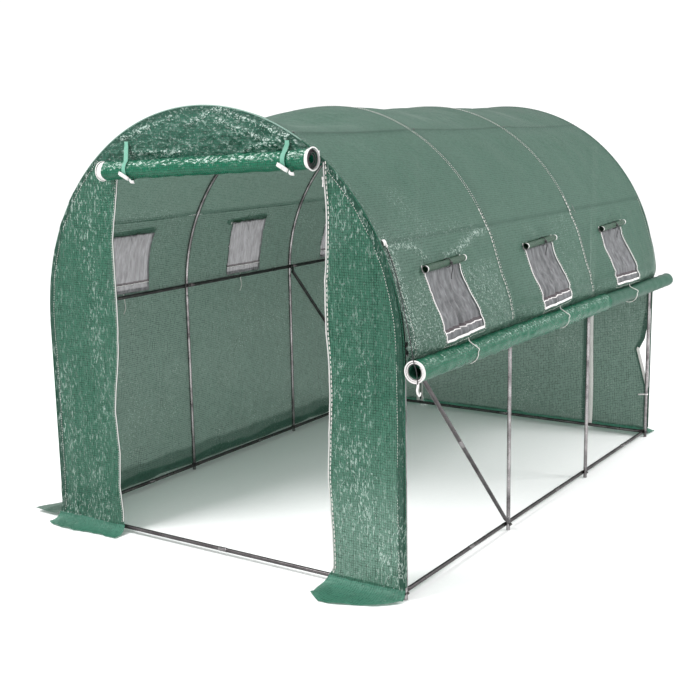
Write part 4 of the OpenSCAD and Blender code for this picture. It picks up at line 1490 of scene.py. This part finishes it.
def zips():
    shapes = []
    right = right_panel_points[SEWN_ROWS, 0] + [0.004, 0, 0]
    left = left_panel_points[SEWN_ROWS, 0] + [-0.004, 0, 0]
    shapes += zip_strip(right, 0.0022, 0.006, (0, -1, 0), 0.0018)
    shapes += zip_strip(left, 0.0022, 0.005, (0, -1, 0), 0.0018)
    for side in (-1, 1):
        z = np.linspace(0.03, DOOR_TOP, 120)
        line = np.stack([rear_door_edge(side)(z), np.full(120, WALL_Y + 0.0105), z], axis=-1)
        shapes += zip_strip(line, 0.0, 0.024, (0, 1, 0))
        shapes += zip_strip(line + [side * 0.016, -0.0200, 0], 0.0, 0.026, (0, -1, 0))
    z = np.linspace(0.33, 0.56, 40)
    line = np.stack([rear_right_edge(z) - 0.004, np.full(40, WALL_Y - 0.006), z], axis=-1)
    shapes.append(swept(strip_of(0.018, 0.0016), line, zip_tape, (1, 0, 0)))
    turn = np.linspace(0, math.tau, 25)[:-1]
    r = TUBE_R + 0.0013
    leg = np.stack([1 + r * np.cos(turn), HALF_L + r * np.sin(turn),
                    np.full(24, LEG_TIE_Z)], axis=-1)
    tail = [(0.992, HALF_L - 0.010, LEG_TIE_Z), (0.972, HALF_L - 0.012, LEG_TIE_Z - 0.002),
            (0.952, HALF_L - 0.008, LEG_TIE_Z - 0.006)]
    shapes.append(swept(strip_of(0.009, 0.0016), leg, hem_tape, (0, 0, 1), closed=True))
    shapes.append(swept(strip_of(0.008, 0.0016), through(tail, 9), hem_tape, (0, 0, 1)))
    piece("zips", shapes)


def zip_pulls():
    """A slider with its tag at the head of the doorway and on each rear zip."""
    shapes = []
    for x, y, z in ((0.645, -WALL_Y - 0.014, 1.738), (0.612, WALL_Y + 0.015, 0.24),
                    (-0.612, WALL_Y + 0.015, 0.24)):
        shapes.append(moulded((0.009, 0.005, 0.012), 0.0015, white_plastic,
                              Matrix.Translation((x, y, z))))
        tag = through([(x, y, z - 0.004), (x + 0.002, y - 0.003, z - 0.016),
                       (x, y - 0.002, z - 0.034)], 8)
        shapes.append(swept(strip_of(0.006, 0.002), tag, white_plastic, (1, 0, 0)))
    piece("zip_pulls", shapes)


def hoop_seam(hoop, shift):
    """A seam beside a hoop, round the whole arch, crept along with the cover."""
    turn = np.linspace(0.03, math.pi - 0.03, 260)
    y = hoop + creep(np.full(260, hoop), turn)
    off_crown = np.degrees(np.abs(turn - math.pi / 2))
    side = off_crown > 90 - math.degrees(SEAM)
    z = LEG_H + SKIN * np.sin(turn)
    lift = np.where(side, np.where(turn < 1, side_lift(y, z, 1), side_lift(y, z, -1)),
                    -hang(y, off_crown))
    return arch_points(turn, y + shift, lift + 0.0022)


def stitching():
    fine, bold = [], []
    for points in (right_panel_points, left_panel_points):
        edge = points[SEWN_ROWS]
        width = np.abs(edge[:, -1, 0] - edge[:, 0, 0])[:, None]
        for inset, from_outer in ((0.014, False), (0.030, True)):
            share = np.clip(inset / width, 0, 0.5)
            a, b = (edge[:, -1], edge[:, 0]) if from_outer else (edge[:, 0], edge[:, -1])
            fine.append(a + (b - a) * share + [0, -0.0022, 0])
    bold.append(right_panel_points[SEWN_ROWS, 0] + [0.014, -0.0026, 0])
    for i in range(3):
        for side in (-1, 1):
            fine.append(window_line(i, side, 0.014, 0.0022))
    for hoop in HOOPS[1:3]:
        fine.append(hoop_seam(hoop, -0.006))
        fine.append(hoop_seam(hoop, 0.010)[:150])
        bold.append(hoop_seam(hoop, -0.006)[:44] + [0.0006, 0, 0])
    for edge in (-WALL_Y + 0.040, WALL_Y - 0.028):
        z = np.linspace(1.03, LEG_H + SKIN * math.sin(SEAM), 60)
        along = np.full(60, edge)
        fine.append(side_points(along, z, 1) + [0.0018, 0, 0])
    grown("seam_stitches", stitch_tree("stitches", thread), fine,
          {"Spacing": 0.012, "Thickness": 0.0008})
    grown("zip_and_hoop_stitches", stitch_tree("long_stitches", thread), bold,
          {"Spacing": 0.020, "Length": 0.011, "Thickness": 0.0022})


zips()
zip_pulls()
stitching()


# ---- studio ----
def studio():
    """A pale floor, a wide soft light from the front left and a smaller one from the right rear.
    """
    mesh = bpy.data.meshes.new("floor")
    mesh.from_pydata([(-30, -30, -0.001), (30, -30, -0.001), (30, 30, -0.001),
                      (-30, 30, -0.001)], [], [(0, 1, 2, 3)])
    floor = placed("floor", mesh)
    paper, tree = new_material("white_studio_paper")
    place = add(tree, "ShaderNodeTexCoord").outputs["Object"]
    fibre = add(tree, NOISE, Vector=place, Scale=40.0)
    tone = add(tree, MIX, COLOURS, i0=fibre, i6=colour("#fafafa"), i7=colour("#ffffff"))
    close_material(tree, add(tree, "ShaderNodeBsdfPrincipled", Base_Color=tone, Roughness=0.9))
    mesh.materials.append(paper)
    # The wall behind is as white as the floor.
    world = bpy.data.worlds.new("studio")
    world.use_nodes = True
    background = world.node_tree.nodes["Background"]
    background.inputs["Color"].default_value = (1, 1, 1, 1)
    background.inputs["Strength"].default_value = 1.10
    bpy.context.scene.world = world

    def lamp(name, at, aim, size, power):
        data = bpy.data.lights.new(name, "AREA")
        data.shape = "RECTANGLE"
        data.size, data.size_y = size
        data.energy = power
        obj = placed(name, data)
        obj.location = at
        obj.rotation_euler = (Vector(aim) - Vector(at)).to_track_quat("-Z", "Y").to_euler()

    lamp("key", (-2.0, -5.2, 6.4), (0, -0.6, 1.2), (2.6, 2.0), 420)
    lamp("side", (5.2, 2.2, 4.0), (0.8, -0.4, 1.2), (2.2, 2.2), 220)
    bpy.context.scene.view_settings.view_transform = "Standard"


studio()
